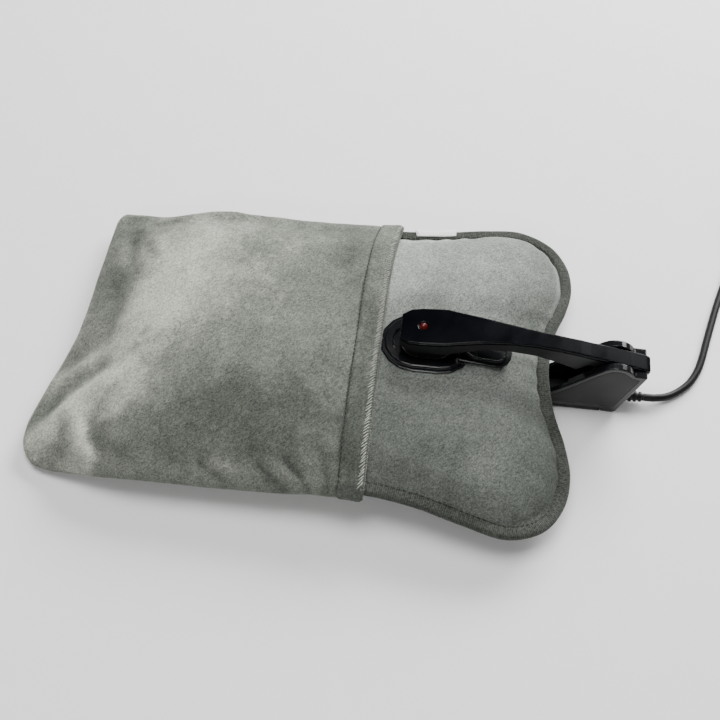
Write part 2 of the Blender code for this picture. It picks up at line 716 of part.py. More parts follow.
def outline_table(outline):
    """Direction, distance and seam height of the outline's points, seen from the mouth's centre."""
    rows = [(math.atan2(p.y, p.x - MOUTH_X), math.hypot(p.x - MOUTH_X, p.y), p.z) for p in outline]
    return np.array(sorted(rows)).T


def pad_levels(x, y, table):
    """Top and underside of the pad or of its binding at a place, or None beyond the edge."""
    angle = math.atan2(y, x - MOUTH_X)
    reach = float(np.interp(angle, table[0], table[1], period=FULL_TURN))
    seam = float(np.interp(angle, table[0], table[2], period=FULL_TURN))
    radius = math.hypot(x - MOUTH_X, y)
    if radius > reach + SLEEVE_OVERHANG:
        return None
    share = min(1.0, radius / (reach - EDGE_WIDTH))
    high = max(top_height(x, y, share, seam), seam + BINDING_HALF_THICKNESS)
    low = min(bottom_height(x, y, share, seam), seam - BINDING_HALF_THICKNESS)
    return high, low


def sleeve_limits(x, y, table):
    """How high and how low the sleeve must be at a place, for all of the pad that it slides over."""
    high, low = SLEEVE_THICKNESS, SEAM_HEIGHT
    for step in range(int((x - MOUTH_X + TAIL_LENGTH) / SLEEVE_SLIDE_STEP) + 1):
        levels = pad_levels(x - step * SLEEVE_SLIDE_STEP, y, table)
        if levels:
            high = max(high, levels[0] + SLEEVE_EASE)
            low = min(low, levels[1] - SLEEVE_EASE)
    return high, max(SLEEVE_THICKNESS, low)


def sleeve_plan(along, across):
    """Place in plan of a share along the sleeve, from its lip, and across it, from -1 to 1."""
    side = 1 if across > 0 else -1
    far, near = max(0.0, across), max(0.0, -across)
    lip = MOUTH_X + SLEEVE_LIP_LEAD * far ** 3
    end = -SLEEVE_END_X - SLEEVE_NEAR_SKEW * near ** SLEEVE_NEAR_POWER - SLEEVE_FAR_SKEW * far ** 2
    half = SLEEVE_HALF_WIDTH - SLEEVE_CORNER_DRAWS[side] * rounded_share(along, SLEEVE_CORNER_SHARE, 1.0)
    return lip + (end - lip) * along, half * across


def neighbour_weights(x, y):
    """How much each of the four neighbours pulls on the grid's inner points."""
    back, ahead = np.abs(x[1:-1, 1:-1] - x[:-2, 1:-1]), np.abs(x[2:, 1:-1] - x[1:-1, 1:-1])
    left, right = np.abs(y[1:-1, 1:-1] - y[1:-1, :-2]), np.abs(y[1:-1, 2:] - y[1:-1, 1:-1])
    weights = [1 / (back * (back + ahead)), 1 / (ahead * (back + ahead)),
               1 / (left * (left + right)), 1 / (right * (left + right))]
    return [weight / sum(weights) for weight in weights]


def pull_taut(levels, limit, keep, weights):
    """Stretch one layer of cloth between its seams, over what lies inside it."""
    for _ in range(SLEEVE_TAUT_STEPS):
        around = (levels[:-2, 1:-1], levels[2:, 1:-1], levels[1:-1, :-2], levels[1:-1, 2:])
        levels[1:-1, 1:-1] = sum(weight * level for weight, level in zip(weights, around))
        levels[0, 1:-1] = levels[1, 1:-1]
        levels[:-1, 1:-1] = keep(levels[:-1, 1:-1], limit[:-1, 1:-1])
    return levels


def sleeve_layers(outline):
    """The inside of the sleeve as a grid: places, levels of its top and levels of its underside."""
    table = outline_table(outline)
    across = [-share for share in reversed(SLEEVE_ACROSS_SHARES[1:])] + SLEEVE_ACROSS_SHARES
    plan = np.array([[sleeve_plan(u, v) for v in across] for u in SLEEVE_ALONG_SHARES])
    x, y = plan[:, :, 0], plan[:, :, 1]
    limits = np.array([[sleeve_limits(*place, table) for place in row] for row in plan])
    drops = np.array([[rounded_share(-place[0], SLEEVE_DROP_START_X, SLEEVE_DROP_END_X) for place in row]
                      for row in plan])
    rim = SEAM_HEIGHT + (SLEEVE_END_HEIGHT - SEAM_HEIGHT) * drops
    weights = neighbour_weights(x, y)
    top = pull_taut(rim.copy(), limits[:, :, 0], np.maximum, weights)
    low = pull_taut(rim.copy(), limits[:, :, 1], np.minimum, weights)
    return x, y, top, low


def sleeve_cells(rows, columns):
    """The grid's cells. The two in closed corners are cut from the one corner that isn't on a seam."""
    for i in range(rows - 1):
        for j in range(columns - 1):
            cell = [(i, j), (i, j + 1), (i + 1, j + 1), (i + 1, j)]
            if i < rows - 2 or 0 < j < columns - 2:
                yield cell
                continue
            free = 1 if j == 0 else 0
            cell = cell[free:] + cell[:free]
            yield cell[:3]
            yield [cell[0]] + cell[2:]


def build_sleeve(outline, pivot):
    """A pillow-shaped bag, open at the mouth, made from its inside and thickened outward."""
    x, y, top, low = sleeve_layers(outline)
    rows, columns = x.shape
    vertices, faces, hem, index = [], [], [], {}
    for i in range(rows):
        for j in range(columns):
            seam = i == rows - 1 or j in (0, columns - 1)
            for side, levels in ((1, top), (-1, low)):
                if seam and side < 0:
                    index[side, i, j] = index[1, i, j]
                    continue
                index[side, i, j] = len(vertices)
                vertices.append((x[i, j], y[i, j], levels[i, j]))
                if side > 0 and i < HEM_ROWS:
                    hem.append(index[side, i, j])
    for cell in sleeve_cells(rows, columns):
        for side in (1, -1):
            faces.append([index[side, row, column] for row, column in cell[::side]])
    mesh = bpy.data.meshes.new("cover_sleeve")
    mesh.from_pydata(vertices, [], faces)
    mesh.shade_smooth()
    obj = finish(bpy.data.objects.new("cover_sleeve", mesh), "sleeve", pivot=pivot)
    thicken_sleeve(obj, hem)


def thicken_sleeve(obj, hem):
    """Give the cloth its thickness, and more of it in the folded hem."""
    weights = obj.vertex_groups.new(name="thickness")
    weights.add(range(len(obj.data.vertices)), SLEEVE_THICKNESS / HEM_THICKNESS, "REPLACE")
    weights.add(hem, 1.0, "REPLACE")
    solid = obj.modifiers.new("cloth", "SOLIDIFY")
    solid.thickness = HEM_THICKNESS
    solid.offset = 1.0
    solid.vertex_group = weights.name


# Socket and heater

def build_flange():
    """The oval socket: stepped flange, wide ledge, deep recess for the contacts, dry neck below."""
    flange = loft("socket_flange", [stadium(a, b, z) for a, b, z in flange_levels()], "gloss_black")
    barrel = CAP_BARREL_RADIUS + CAP_CLEARANCE
    half = CAP_HALF_WIDTH + CAP_CLEARANCE
    notch = box("cap_notch", (-barrel, -half, -barrel), (CAP_LENGTH, half, FLANGE_HALF_WIDTH), None)
    cut(flange, turn_with_cap(notch))
    bore = CAP_PIN_RADIUS + PIN_CLEARANCE
    span = CAP_PIN_LENGTH / 2 + GAP
    cut(flange, cylinder("cap_pin_bore", bore, (CAP_HINGE.x, -span, CAP_HINGE.z),
                         (CAP_HINGE.x, span, CAP_HINGE.z), None, sides=12))
    for number, x in enumerate(pin_places()):
        hole = PIN_RADIUS + PIN_CLEARANCE
        cut(flange, cylinder(f"pin_hole_{number}", hole, (x, 0.0, RECESS_Z - RECESS_FLOOR - OVERRUN),
                             (x, 0.0, RECESS_Z + OVERRUN), None, sides=16))


def flange_levels():
    """Half length, half width and height of the flange's rings, from inside the neck over the rim."""
    hl, hw, rnd = FLANGE_HALF_LENGTH, FLANGE_HALF_WIDTH, FLANGE_EDGE_ROUND
    step_z, ledge_z = SEAT_Z + FLANGE_STEP_HEIGHT, RIM_Z - LEDGE_DEPTH
    dry_l, dry_w = NECK_HALF_LENGTH - NECK_WALL, NECK_HALF_WIDTH - NECK_WALL
    rim_l, rim_w = hl - FLANGE_STEP_INSET, hw - FLANGE_STEP_INSET
    ledge_l, ledge_w = NECK_HALF_LENGTH - LEDGE_MARGIN, NECK_HALF_WIDTH - LEDGE_MARGIN
    return [
        (dry_l - NECK_WALL, dry_w - NECK_WALL, RECESS_Z - RECESS_FLOOR),
        (dry_l, dry_w, RECESS_Z - RECESS_FLOOR),
        (dry_l, dry_w, NECK_Z),
        (NECK_HALF_LENGTH, NECK_HALF_WIDTH, NECK_Z),
        (NECK_HALF_LENGTH, NECK_HALF_WIDTH, SEAT_Z),
        (hl - rnd, hw - rnd, SEAT_Z),
        (hl, hw, SEAT_Z + rnd),
        (hl, hw, step_z - rnd),
        (hl - rnd, hw - rnd, step_z),
        (rim_l, rim_w, step_z),
        (rim_l, rim_w, RIM_Z - rnd),
        (rim_l - rnd, rim_w - rnd, RIM_Z),
        (ledge_l + rnd, ledge_w + rnd, RIM_Z),
        (ledge_l, ledge_w, RIM_Z - rnd),
        (ledge_l, ledge_w, ledge_z),
        (RECESS_HALF_LENGTH, RECESS_HALF_WIDTH, ledge_z),
        (RECESS_HALF_LENGTH, RECESS_HALF_WIDTH, RECESS_Z),
    ]


def turn_with_cap(obj):
    """Place a piece drawn about the cap's hinge pin."""
    obj.matrix_world = CAP_TURN @ Matrix.LocRotScale(obj.location, obj.rotation_euler, obj.scale)
    return obj


def pin_places():
    first = SOCKET_X - PIN_SPACING * (PIN_COUNT - 1) / 2
    return [first + PIN_SPACING * i for i in range(PIN_COUNT)]


def build_socket_pieces():
    """Clamp ring, contact pins, and what sits in the dry chamber and under it."""
    inner_l, inner_w = NECK_HALF_LENGTH + GAP, NECK_HALF_WIDTH + GAP
    outer_l, outer_w = inner_l + CLAMP_WIDTH, inner_w + CLAMP_WIDTH
    bag = PLUSH_THICKNESS + BLADDER_CLEARANCE + BLADDER_WALL
    high = SOCKET_SEAT_HEIGHT - bag - CLAMP_DROP
    low = high - CLAMP_THICKNESS
    ring = loft("clamp_ring", [stadium(outer_l, outer_w, low), stadium(outer_l, outer_w, high)], "steel")
    cut(ring, loft("clamp_hole", [stadium(inner_l, inner_w, low - OVERRUN),
                                  stadium(inner_l, inner_w, high + OVERRUN)], None))
    for number, x in enumerate(pin_places()):
        cylinder(f"socket_pin_{number + 1}", PIN_RADIUS, (x, 0.0, RECESS_Z - RECESS_FLOOR - PIN_TAIL),
                 (x, 0.0, RECESS_Z + PIN_RISE), "brass", bevel=PIN_RADIUS * EDGE_ROUND_SHARES["pin"], sides=16)
    build_heater()


def build_heater():
    plate_top = NECK_Z - GAP
    plate_low = plate_top - HEATER_PLATE_THICKNESS
    loft("heater_plate", [stadium(NECK_HALF_LENGTH, NECK_HALF_WIDTH, plate_low),
                          stadium(NECK_HALF_LENGTH, NECK_HALF_WIDTH, plate_top)], "steel")
    disc_r, disc_h = THERMOSTAT_RADIUS, THERMOSTAT_HEIGHT
    disc_low = plate_top + 2 * GAP
    turned("thermostat", [(0.0, disc_h), (disc_r * THERMOSTAT_CAP_SHARE, disc_h),
                          (disc_r * THERMOSTAT_CAP_SHARE, disc_h / 2), (disc_r, disc_h / 2), (disc_r, 0.0),
                          (0.0, 0.0)],
           (SOCKET_X + disc_r, 0.0, disc_low - GAP), "ceramic")
    fuse_z = plate_top + FUSE_RADIUS + GAP
    fuse_x = SOCKET_X - THERMOSTAT_RADIUS
    cylinder("thermal_fuse", FUSE_RADIUS, (fuse_x, -FUSE_LENGTH / 2, fuse_z), (fuse_x, FUSE_LENGTH / 2, fuse_z),
             "ceramic", bevel=FUSE_RADIUS * EDGE_ROUND_SHARES["fuse"], sides=12)
    build_cage(plate_low - GAP)
    build_element(plate_low - GAP)


def build_cage(top):
    """The slotted guard round the heating element, so that the bag can't touch it."""
    hl, hw = NECK_HALF_LENGTH, NECK_HALF_WIDTH
    low = top - CAGE_DEPTH
    cage = loft("heater_cage", [stadium(hl - CAGE_WALL, hw - CAGE_WALL, low), stadium(hl, hw, low + CAGE_WALL),
                                stadium(hl, hw, top)], "satin_black")
    cut(cage, loft("cage_inside", [stadium(hl - CAGE_WALL, hw - CAGE_WALL, low + CAGE_WALL),
                                   stadium(hl - CAGE_WALL, hw - CAGE_WALL, top + OVERRUN)], None))
    count = int((hl - hw + hw * CAGE_ROUND_SHARE) / CAGE_SLOT_PITCH)
    for i in range(-count, count + 1):
        x = SOCKET_X + i * CAGE_SLOT_PITCH
        cut(cage, box(f"cage_side_slot_{i}", (x - CAGE_SLOT_WIDTH / 2, -hw - OVERRUN, low + CAGE_SLOT_MARGIN),
                      (x + CAGE_SLOT_WIDTH / 2, hw + OVERRUN, top - CAGE_SLOT_MARGIN), None))
        cut(cage, box(f"cage_floor_slot_{i}", (x - CAGE_SLOT_WIDTH / 2, -hw / 2, low - OVERRUN),
                      (x + CAGE_SLOT_WIDTH / 2, hw / 2, low + CAGE_WALL + OVERRUN), None))


def build_element(top):
    """A sheathed heating tube bent into a hairpin, both ends brazed to the plate."""
    level = top - CAGE_DEPTH + CAGE_WALL + 2 * ELEMENT_RADIUS
    side, reach = ELEMENT_HALF_WIDTH, ELEMENT_HALF_LENGTH
    bend = []
    for k in range(ELEMENT_BEND_POINTS):
        angle = HALF_TURN * (0.5 - k / (ELEMENT_BEND_POINTS - 1))
        bend.append((SOCKET_X + reach - side + side * math.cos(angle), side * math.sin(angle), level))
    start_x = SOCKET_X - reach
    leg = 2 * ELEMENT_RADIUS
    bent = leg * ELEMENT_BEND_SHARE
    rise = [(start_x, side, top - GAP), (start_x, side, level + leg), (start_x + bent, side, level + bent),
            (start_x + leg, side, level)]
    back = [(x, -y, z) for x, y, z in reversed(rise)]
    tube("heating_element", rise + bend + back, ELEMENT_RADIUS, "steel", resolution=2)


# Dust cap

def cap_outline():
    """The flap in plan, from its straight hinge end to its rounded far end."""
    corner = CAP_HALF_WIDTH * CAP_CORNER_SHARE
    outline = [(-CAP_BARREL_RADIUS, -CAP_HALF_WIDTH)]
    for k in range(CAP_END_POINTS):
        angle = HALF_TURN * (k / (CAP_END_POINTS - 1) - 0.5)
        outline.append((CAP_LENGTH - corner + corner * math.cos(angle), CAP_HALF_WIDTH * math.sin(angle)))
    outline.append((-CAP_BARREL_RADIUS, CAP_HALF_WIDTH))
    return outline


def build_cap(pivot):
    """The flap that closes the socket, turned back on the pad, with its hinge barrel and lip."""
    half = CAP_THICKNESS / 2
    middle = CAP_LENGTH / 2
    rings = []
    for inset, level in ((CAP_EDGE_ROUND, -half), (0.0, CAP_EDGE_ROUND - half), (0.0, half - CAP_EDGE_ROUND),
                         (CAP_EDGE_ROUND, half)):
        shrink = 1.0 - inset / CAP_HALF_WIDTH
        rings.append([(middle + (x - middle) * shrink, y * shrink, level) for x, y in cap_outline()])
    cap = loft("socket_cap", rings, "gloss_black", pivot)
    cap.matrix_parent_inverse = Matrix.Identity(4)
    cap.rotation_euler = (0.0, CAP_SLOPE, 0.0)
    lip_l, lip_w = middle - CAP_LIP_INSET, CAP_HALF_WIDTH - CAP_LIP_INSET
    high = half + CAP_LIP_DEPTH
    lip = loft("cap_lip", [stadium(lip_l, lip_w, 0.0, middle), stadium(lip_l, lip_w, high, middle)], None)
    inner_l, inner_w = lip_l - CAP_LIP_WIDTH, lip_w - CAP_LIP_WIDTH
    hollow = loft("cap_hollow", [stadium(inner_l, inner_w, half, middle),
                                 stadium(inner_l, inner_w, high + OVERRUN, middle)], None)
    barrel = cylinder("cap_barrel", CAP_BARREL_RADIUS, (0.0, -CAP_HALF_WIDTH, 0.0),
                      (0.0, CAP_HALF_WIDTH, 0.0), None)
    span = CAP_HALF_WIDTH + OVERRUN
    bore = cylinder("cap_bore", CAP_PIN_RADIUS + PIN_CLEARANCE, (0.0, -span, 0.0), (0.0, span, 0.0), None,
                    sides=12)
    cut(cap, turn_with_cap(lip), "UNION")
    cut(cap, turn_with_cap(hollow))
    cut(cap, turn_with_cap(barrel), "UNION")
    cut(cap, turn_with_cap(bore))
    span = CAP_PIN_LENGTH / 2
    cylinder("cap_hinge_pin", CAP_PIN_RADIUS, (CAP_HINGE.x, -span, CAP_HINGE.z),
             (CAP_HINGE.x, span, CAP_HINGE.z), "steel", sides=12)


# Clip: lower jaw

def ear_point(angle, radius=EAR_RADIUS):
    return (HINGE_X + radius * math.cos(angle), HINGE_HEIGHT + radius * math.sin(angle))


def ear_arc(radius):
    step = (EAR_END - EAR_START) / (EAR_POINTS - 1)
    return [ear_point(EAR_START + step * k, radius) for k in range(EAR_POINTS)]


def front_rise(top_x, top_z, foot_x, foot_z):
    """The hollow curve that climbs from the jaw's tongue to the ear."""
    return [(foot_x + along * (top_x - foot_x), foot_z + rise * (top_z - foot_z))
            for along, rise in FRONT_RISE_SHARES]


def end_x(z):
    """Where the slanted end lies at a height."""
    return BODY_END_FOOT_X + (BODY_END_TOP_X - BODY_END_FOOT_X) * z / BODY_END_TOP_HEIGHT


def build_jaw():
    """The moulded lower jaw: tongue, hollow body, two ears and the slanted end."""
    arc = ear_arc(EAR_RADIUS)
    outline = [(JAW_TIP_X, BASE_HEIGHT), (BASE_END_X + GAP, BASE_HEIGHT), (BASE_END_X + GAP, 0.0),
               (BODY_END_FOOT_X - EDGE_BEVEL * 2, 0.0), (end_x(EDGE_BEVEL * 2), EDGE_BEVEL * 2),
               (BODY_END_TOP_X, BODY_END_TOP_HEIGHT)]
    outline += list(reversed(arc))
    outline += list(reversed(front_rise(*arc[0], FRONT_RISE_X, JAW_HEIGHT)))
    outline.append((JAW_TIP_X, JAW_HEIGHT))
    jaw = prism("jaw_shell", outline, -BODY_HALF_WIDTH, BODY_HALF_WIDTH, "Y", "gloss_black", bevel=EDGE_BEVEL)
    far = BODY_END_TOP_X + OVERRUN
    wall = BODY_HALF_WIDTH - POCKET_WALL
    cut(jaw, box("wire_pocket", (POCKET_FRONT_X, -wall, BASE_HEIGHT - OVERRUN),
                 (POCKET_BACK_X, wall, POCKET_TOP), None))
    cut(jaw, box("arm_slot", (POCKET_FRONT_X, -SLOT_HALF_WIDTH, POCKET_TOP - GAP),
                 (far, SLOT_HALF_WIDTH, HINGE_HEIGHT + 2 * EAR_RADIUS), None))
    cut(jaw, hinge_bore("ear_bore", HINGE_PIN_CLEARANCE))
    neck = RELIEF_RADIUS * RELIEF_NECK_SHARE + GAP
    cut(jaw, cylinder("relief_hole", neck, (POCKET_BACK_X - OVERRUN, 0.0, RELIEF_HEIGHT),
                      (RELIEF_RIB_START_X, 0.0, RELIEF_HEIGHT), None))
    grip_low = JAW_HEIGHT + GRIP_RISE - GRIP_THICKNESS
    cut(jaw, box("grip_pocket", (GRIP_X - GAP, -GRIP_HALF_WIDTH - GAP, grip_low - GAP),
                 (GRIP_X + GRIP_LENGTH + GAP, GRIP_HALF_WIDTH + GAP, JAW_HEIGHT + OVERRUN), None))
    for side in (1, -1):
        name = "near" if side < 0 else "far"
        depth = sorted((side * (BODY_HALF_WIDTH - PANEL_RECESS), side * (BODY_HALF_WIDTH + OVERRUN)))
        cut(jaw, prism(f"panel_recess_{name}", panel_outline(0.0), *depth, "Y", None))
    for number, x in enumerate(BASE_SCREW_XS):
        hole = SCREW_RADIUS + PIN_CLEARANCE
        cut(jaw, cylinder(f"jaw_screw_hole_{number}", hole, (x, 0.0, BASE_HEIGHT - OVERRUN),
                          (x, 0.0, SCREW_SETBACK + SCREW_LENGTH + GAP), None, sides=12))


GRIP_X = JAW_TIP_X + TONGUE_TIP_ROUND / 2


def hinge_bore(name, clearance):
    reach = BODY_HALF_WIDTH + OVERRUN
    return cylinder(name, HINGE_PIN_RADIUS + clearance, (HINGE_X, -reach, HINGE_HEIGHT),
                    (HINGE_X, reach, HINGE_HEIGHT), None)


def panel_outline(fit):
    """Outline of a side panel, or of its recess where fit is zero."""
    band = PANEL_BAND + fit
    arc = ear_arc(EAR_RADIUS - band)
    foot = BASE_HEIGHT + PANEL_FOOT + fit
    front = PANEL_FRONT_X + fit
    border = PANEL_BORDER + fit
    rise = front_rise(*arc[0], FRONT_RISE_X + band, JAW_HEIGHT - band)
    after = [p for p in rise if p[0] > front]
    before = [p for p in rise if p[0] <= front][-1]
    share = (front - before[0]) / (after[0][0] - before[0])
    corner = (front, before[1] + share * (after[0][1] - before[1]))
    top_z = arc[-1][1]
    return ([(front, foot), (end_x(foot) - border, foot), (end_x(top_z) - border, top_z - border / 2)]
            + list(reversed(arc)) + list(reversed(after)) + [corner])


def build_jaw_pieces():
    base = box("base_cover", (JAW_TIP_X, -BODY_HALF_WIDTH, 0.0),
               (BASE_END_X, BODY_HALF_WIDTH, BASE_HEIGHT - GAP), "satin_black", bevel=EDGE_BEVEL)
    for number, x in enumerate(BASE_SCREW_XS):
        cut(base, cylinder(f"base_hole_{number}", SCREW_RADIUS + PIN_CLEARANCE, (x, 0.0, -OVERRUN),
                           (x, 0.0, BASE_HEIGHT + OVERRUN), None, sides=12))
        head = SCREW_HEAD_RADIUS + PIN_CLEARANCE
        cut(base, cylinder(f"base_counterbore_{number}", head, (x, 0.0, -OVERRUN),
                           (x, 0.0, SCREW_SETBACK + SCREW_HEAD_HEIGHT + GAP), None, sides=16))
        make_screw(f"base_screw_{number + 1}", (x, 0.0, SCREW_SETBACK))
    for side in (1, -1):
        name = "near" if side < 0 else "far"
        inner = BODY_HALF_WIDTH - PANEL_RECESS + GAP
        depth = sorted((side * inner, side * (inner + PANEL_THICKNESS)))
        prism(f"side_panel_{name}", panel_outline(PANEL_FIT), *depth, "Y", "grip_grey")
    build_grip()
    cylinder("hinge_pin", HINGE_PIN_RADIUS, (HINGE_X, -(BODY_HALF_WIDTH - PANEL_RECESS), HINGE_HEIGHT),
             (HINGE_X, BODY_HALF_WIDTH - PANEL_RECESS, HINGE_HEIGHT), "steel")
    end = RELIEF_INNER_X - TERMINAL_CLEARANCE
    box("terminal_block", (end - TERMINAL_LENGTH, -TERMINAL_HALF_WIDTH, BASE_HEIGHT),
        (end, TERMINAL_HALF_WIDTH, BASE_HEIGHT + TERMINAL_HEIGHT), "ceramic", bevel=EDGE_BEVEL)
    build_spring()


def make_screw(name, foot, pivot=None):
    """A screw with its head down at foot, and a plain driving hollow in the head."""
    r, head, length = SCREW_RADIUS, SCREW_HEAD_RADIUS, SCREW_LENGTH
    profile = [(0.0, length), (r, length), (r, SCREW_HEAD_HEIGHT), (head, SCREW_HEAD_HEIGHT), (head, 0.0),
               (r, 0.0), (r, SCREW_DRIVE_DEPTH), (0.0, SCREW_DRIVE_DEPTH)]
    return turned(name, profile, foot, "steel", pivot, steps=12)


def build_grip():
    """The ribbed rubber pad on the jaw's tip."""
    high = JAW_HEIGHT + GRIP_RISE
    grip = box("jaw_grip", (GRIP_X, -GRIP_HALF_WIDTH, high - GRIP_THICKNESS),
               (GRIP_X + GRIP_LENGTH, GRIP_HALF_WIDTH, high), "rubber")
    pitch = GRIP_LENGTH / (GRIP_RIB_COUNT + GRIP_LEAD_SHARE)
    for k in range(GRIP_RIB_COUNT):
        x = GRIP_X + pitch * (k + GRIP_LEAD_SHARE)
        cut(grip, box(f"grip_groove_{k}", (x, -GRIP_HALF_WIDTH - OVERRUN, high - GRIP_RIB_DEPTH),
                      (x + pitch / 2, GRIP_HALF_WIDTH + OVERRUN, high + OVERRUN), None))


def build_spring():
    """The torsion spring wound on the hinge pin, one leg under the arm and one in the body."""
    width = SPRING_PITCH * SPRING_TURNS
    count = SPRING_TURNS * SPRING_TURN_POINTS
    points = []
    for k in range(count + 1):
        angle = FULL_TURN * k / SPRING_TURN_POINTS
        points.append((HINGE_X + SPRING_RADIUS * math.cos(angle), -width / 2 + width * k / count,
                       HINGE_HEIGHT - SPRING_RADIUS * math.sin(angle)))
    first, last = Vector(points[0]), Vector(points[-1])
    tail = [tuple(first + Vector((0.0, 0.0, 2 * SPRING_WIRE_RADIUS)))]
    leg = [tuple(last - Vector((0.0, 0.0, SPRING_LEG * share))) for share in SPRING_LEG_SHARES]
    tube("torsion_spring", tail + points + leg, SPRING_WIRE_RADIUS, "steel", resolution=1)
    gap = least_gap(points, SPRING_WIRE_RADIUS, SPRING_TURN_POINTS // 2)
    print(f"torsion spring: least gap to itself {gap * 1000:.2f} mm")


# Clip: arm

def arm_stations():
    """Along the arm: x, half width, top and underside."""
    length = ARM_END_X - ARM_TIP_X
    return [(ARM_TIP_X + along * length, half * ARM_HEAD_HALF_WIDTH, HINGE_HEIGHT + top * ARM_CREST,
             HINGE_HEIGHT + low * ARM_CREST) for along, half, top, low in ARM_SHARES]


def arm_height(x, column):
    """The arm's top (2) or underside (3) at a place along it."""
    stations = arm_stations()
    for before, after in zip(stations, stations[1:]):
        if x <= after[0]:
            share = (x - before[0]) / (after[0] - before[0])
            return before[column] + share * (after[column] - before[column])
    return stations[-1][column]


def section(x, half, low, high, low_chamfer, high_chamfer):
    return [(x, -half, low + low_chamfer), (x, -half, high - high_chamfer), (x, -half + high_chamfer, high),
            (x, half - high_chamfer, high), (x, half, high - high_chamfer), (x, half, low + low_chamfer),
            (x, half - low_chamfer, low), (x, -half + low_chamfer, low)]


def build_arm_lid(pivot):
    """The arm's top: a shallow lid, hollowed under, with the screw boss and the lamp's hole."""
    rings, hollow = [], []
    stations = arm_stations()
    small = LID_CHAMFER * EDGE_ROUND_SHARES["lid"]
    for x, half, top, _ in stations:
        rings.append(section(x, half, top - LID_HEIGHT, top, small, LID_CHAMFER))
    for x, half, top, _ in stations[1:-1]:
        inside = half - 2 * SHELL_WALL - SHELL_INSET
        under = top - LID_HEIGHT
        hollow.append(section(x, inside, under - OVERRUN, under + LID_RECESS, LID_CHAMFER, small))
    lid = loft("arm_top_cover", rings, "gloss_black", pivot)
    cut(lid, loft("lid_hollow", hollow, None))
    top = arm_height(ARM_SCREW_X, 2)
    boss = cylinder("lid_boss", BOSS_RADIUS, (ARM_SCREW_X, 0.0, boss_foot()),
                    (ARM_SCREW_X, 0.0, top - LID_HEIGHT + LID_RECESS + GAP), None)
    cut(lid, boss, "UNION")
    cut(lid, cylinder("boss_bore", SCREW_RADIUS + PIN_CLEARANCE, (ARM_SCREW_X, 0.0, boss_foot() - OVERRUN),
                      (ARM_SCREW_X, 0.0, screw_foot() + SCREW_LENGTH + GAP), None, sides=12))
    cut(lid, cylinder("lamp_hole", LED_RADIUS + GAP, (LED_X, 0.0, HINGE_HEIGHT),
                      (LED_X, 0.0, HINGE_HEIGHT + 2 * ARM_CREST), None))


def screw_foot():
    return arm_height(ARM_SCREW_X, 3) + SCREW_SETBACK


def boss_foot():
    return arm_height(ARM_SCREW_X, 3) + SCREW_HEAD_HEIGHT + SHELL_WALL + 2 * GAP


def build_arm_shell(pivot):
    """The arm's lower shell, open to the lid, with its hub round the hinge pin."""
    rings, hollow = [], []
    stations = arm_stations()
    small = SHELL_CHAMFER * EDGE_ROUND_SHARES["shell"]
    for x, half, top, low in stations:
        rings.append(section(x, half - SHELL_INSET, low, top - LID_HEIGHT - GAP, SHELL_CHAMFER, small))
    shell = loft("arm_lower_shell", rings, "satin_black", pivot)
    for x, half, top, low in stations[1:10]:
        inside = half - SHELL_INSET - SHELL_WALL
        hollow.append(section(x, inside, low + SHELL_WALL, top + OVERRUN, small, small))
    cut(shell, loft("shell_hollow", hollow, None))
    half_hub = stations[-3][1] - SHELL_INSET
    cut(shell, cylinder("hinge_hub", HUB_RADIUS, (HINGE_X, -half_hub, HINGE_HEIGHT),
                        (HINGE_X, half_hub, HINGE_HEIGHT), None), "UNION")
    spring_room = SPRING_PITCH * SPRING_TURNS / 2 + 2 * SPRING_WIRE_RADIUS
    spring_reach = SPRING_RADIUS + 2 * SPRING_WIRE_RADIUS + GAP
    cut(shell, box("spring_room", (HINGE_X - spring_reach, -spring_room, HINGE_HEIGHT - 2 * HUB_RADIUS),
                   (HINGE_X + spring_reach, spring_room, HINGE_HEIGHT + spring_reach), None))
    cut(shell, hinge_bore("hub_bore", HINGE_PIN_CLEARANCE))
    low = arm_height(ARM_SCREW_X, 3)
    cut(shell, cylinder("arm_screw_hole", SCREW_RADIUS + PIN_CLEARANCE, (ARM_SCREW_X, 0.0, low - OVERRUN),
                        (ARM_SCREW_X, 0.0, low + 2 * SHELL_WALL + OVERRUN), None, sides=12))
    cut(shell, cylinder("arm_screw_recess", SCREW_HEAD_RADIUS + PIN_CLEARANCE, (ARM_SCREW_X, 0.0, low - OVERRUN),
                        (ARM_SCREW_X, 0.0, screw_foot() + SCREW_HEAD_HEIGHT + GAP), None, sides=16))


def build_arm_pieces(pivot):
    make_screw("arm_screw", (ARM_SCREW_X, 0.0, screw_foot()), pivot)
    floor = HINGE_HEIGHT + ARM_SHARES[0][3] * ARM_CREST
    board_low = floor + SHELL_WALL + GAP
    box("control_board", (BOARD_X - BOARD_LENGTH / 2, -BOARD_HALF_WIDTH, board_low),
        (BOARD_X + BOARD_LENGTH / 2, BOARD_HALF_WIDTH, board_low + BOARD_THICKNESS), "board", pivot)
    lamp_low = board_low + BOARD_THICKNESS + GAP
    lamp_top = arm_height(LED_X, 2) + LED_RISE - lamp_low
    angles = [HALF_TURN / 2 * k / LED_DOME_POINTS for k in range(LED_DOME_POINTS + 1)]
    dome_low = lamp_top - LED_RADIUS
    dome = [(LED_RADIUS * math.sin(angle), dome_low + LED_RADIUS * math.cos(angle)) for angle in angles]
    profile = dome + [(LED_RADIUS, LED_FLANGE_HEIGHT), (LED_FLANGE_RADIUS, LED_FLANGE_HEIGHT),
                      (LED_FLANGE_RADIUS, 0.0), (0.0, 0.0)]
    turned("indicator_lamp", profile, (LED_X, 0.0, lamp_low), "lamp", pivot, steps=16)
    build_nose(pivot, floor - GAP)


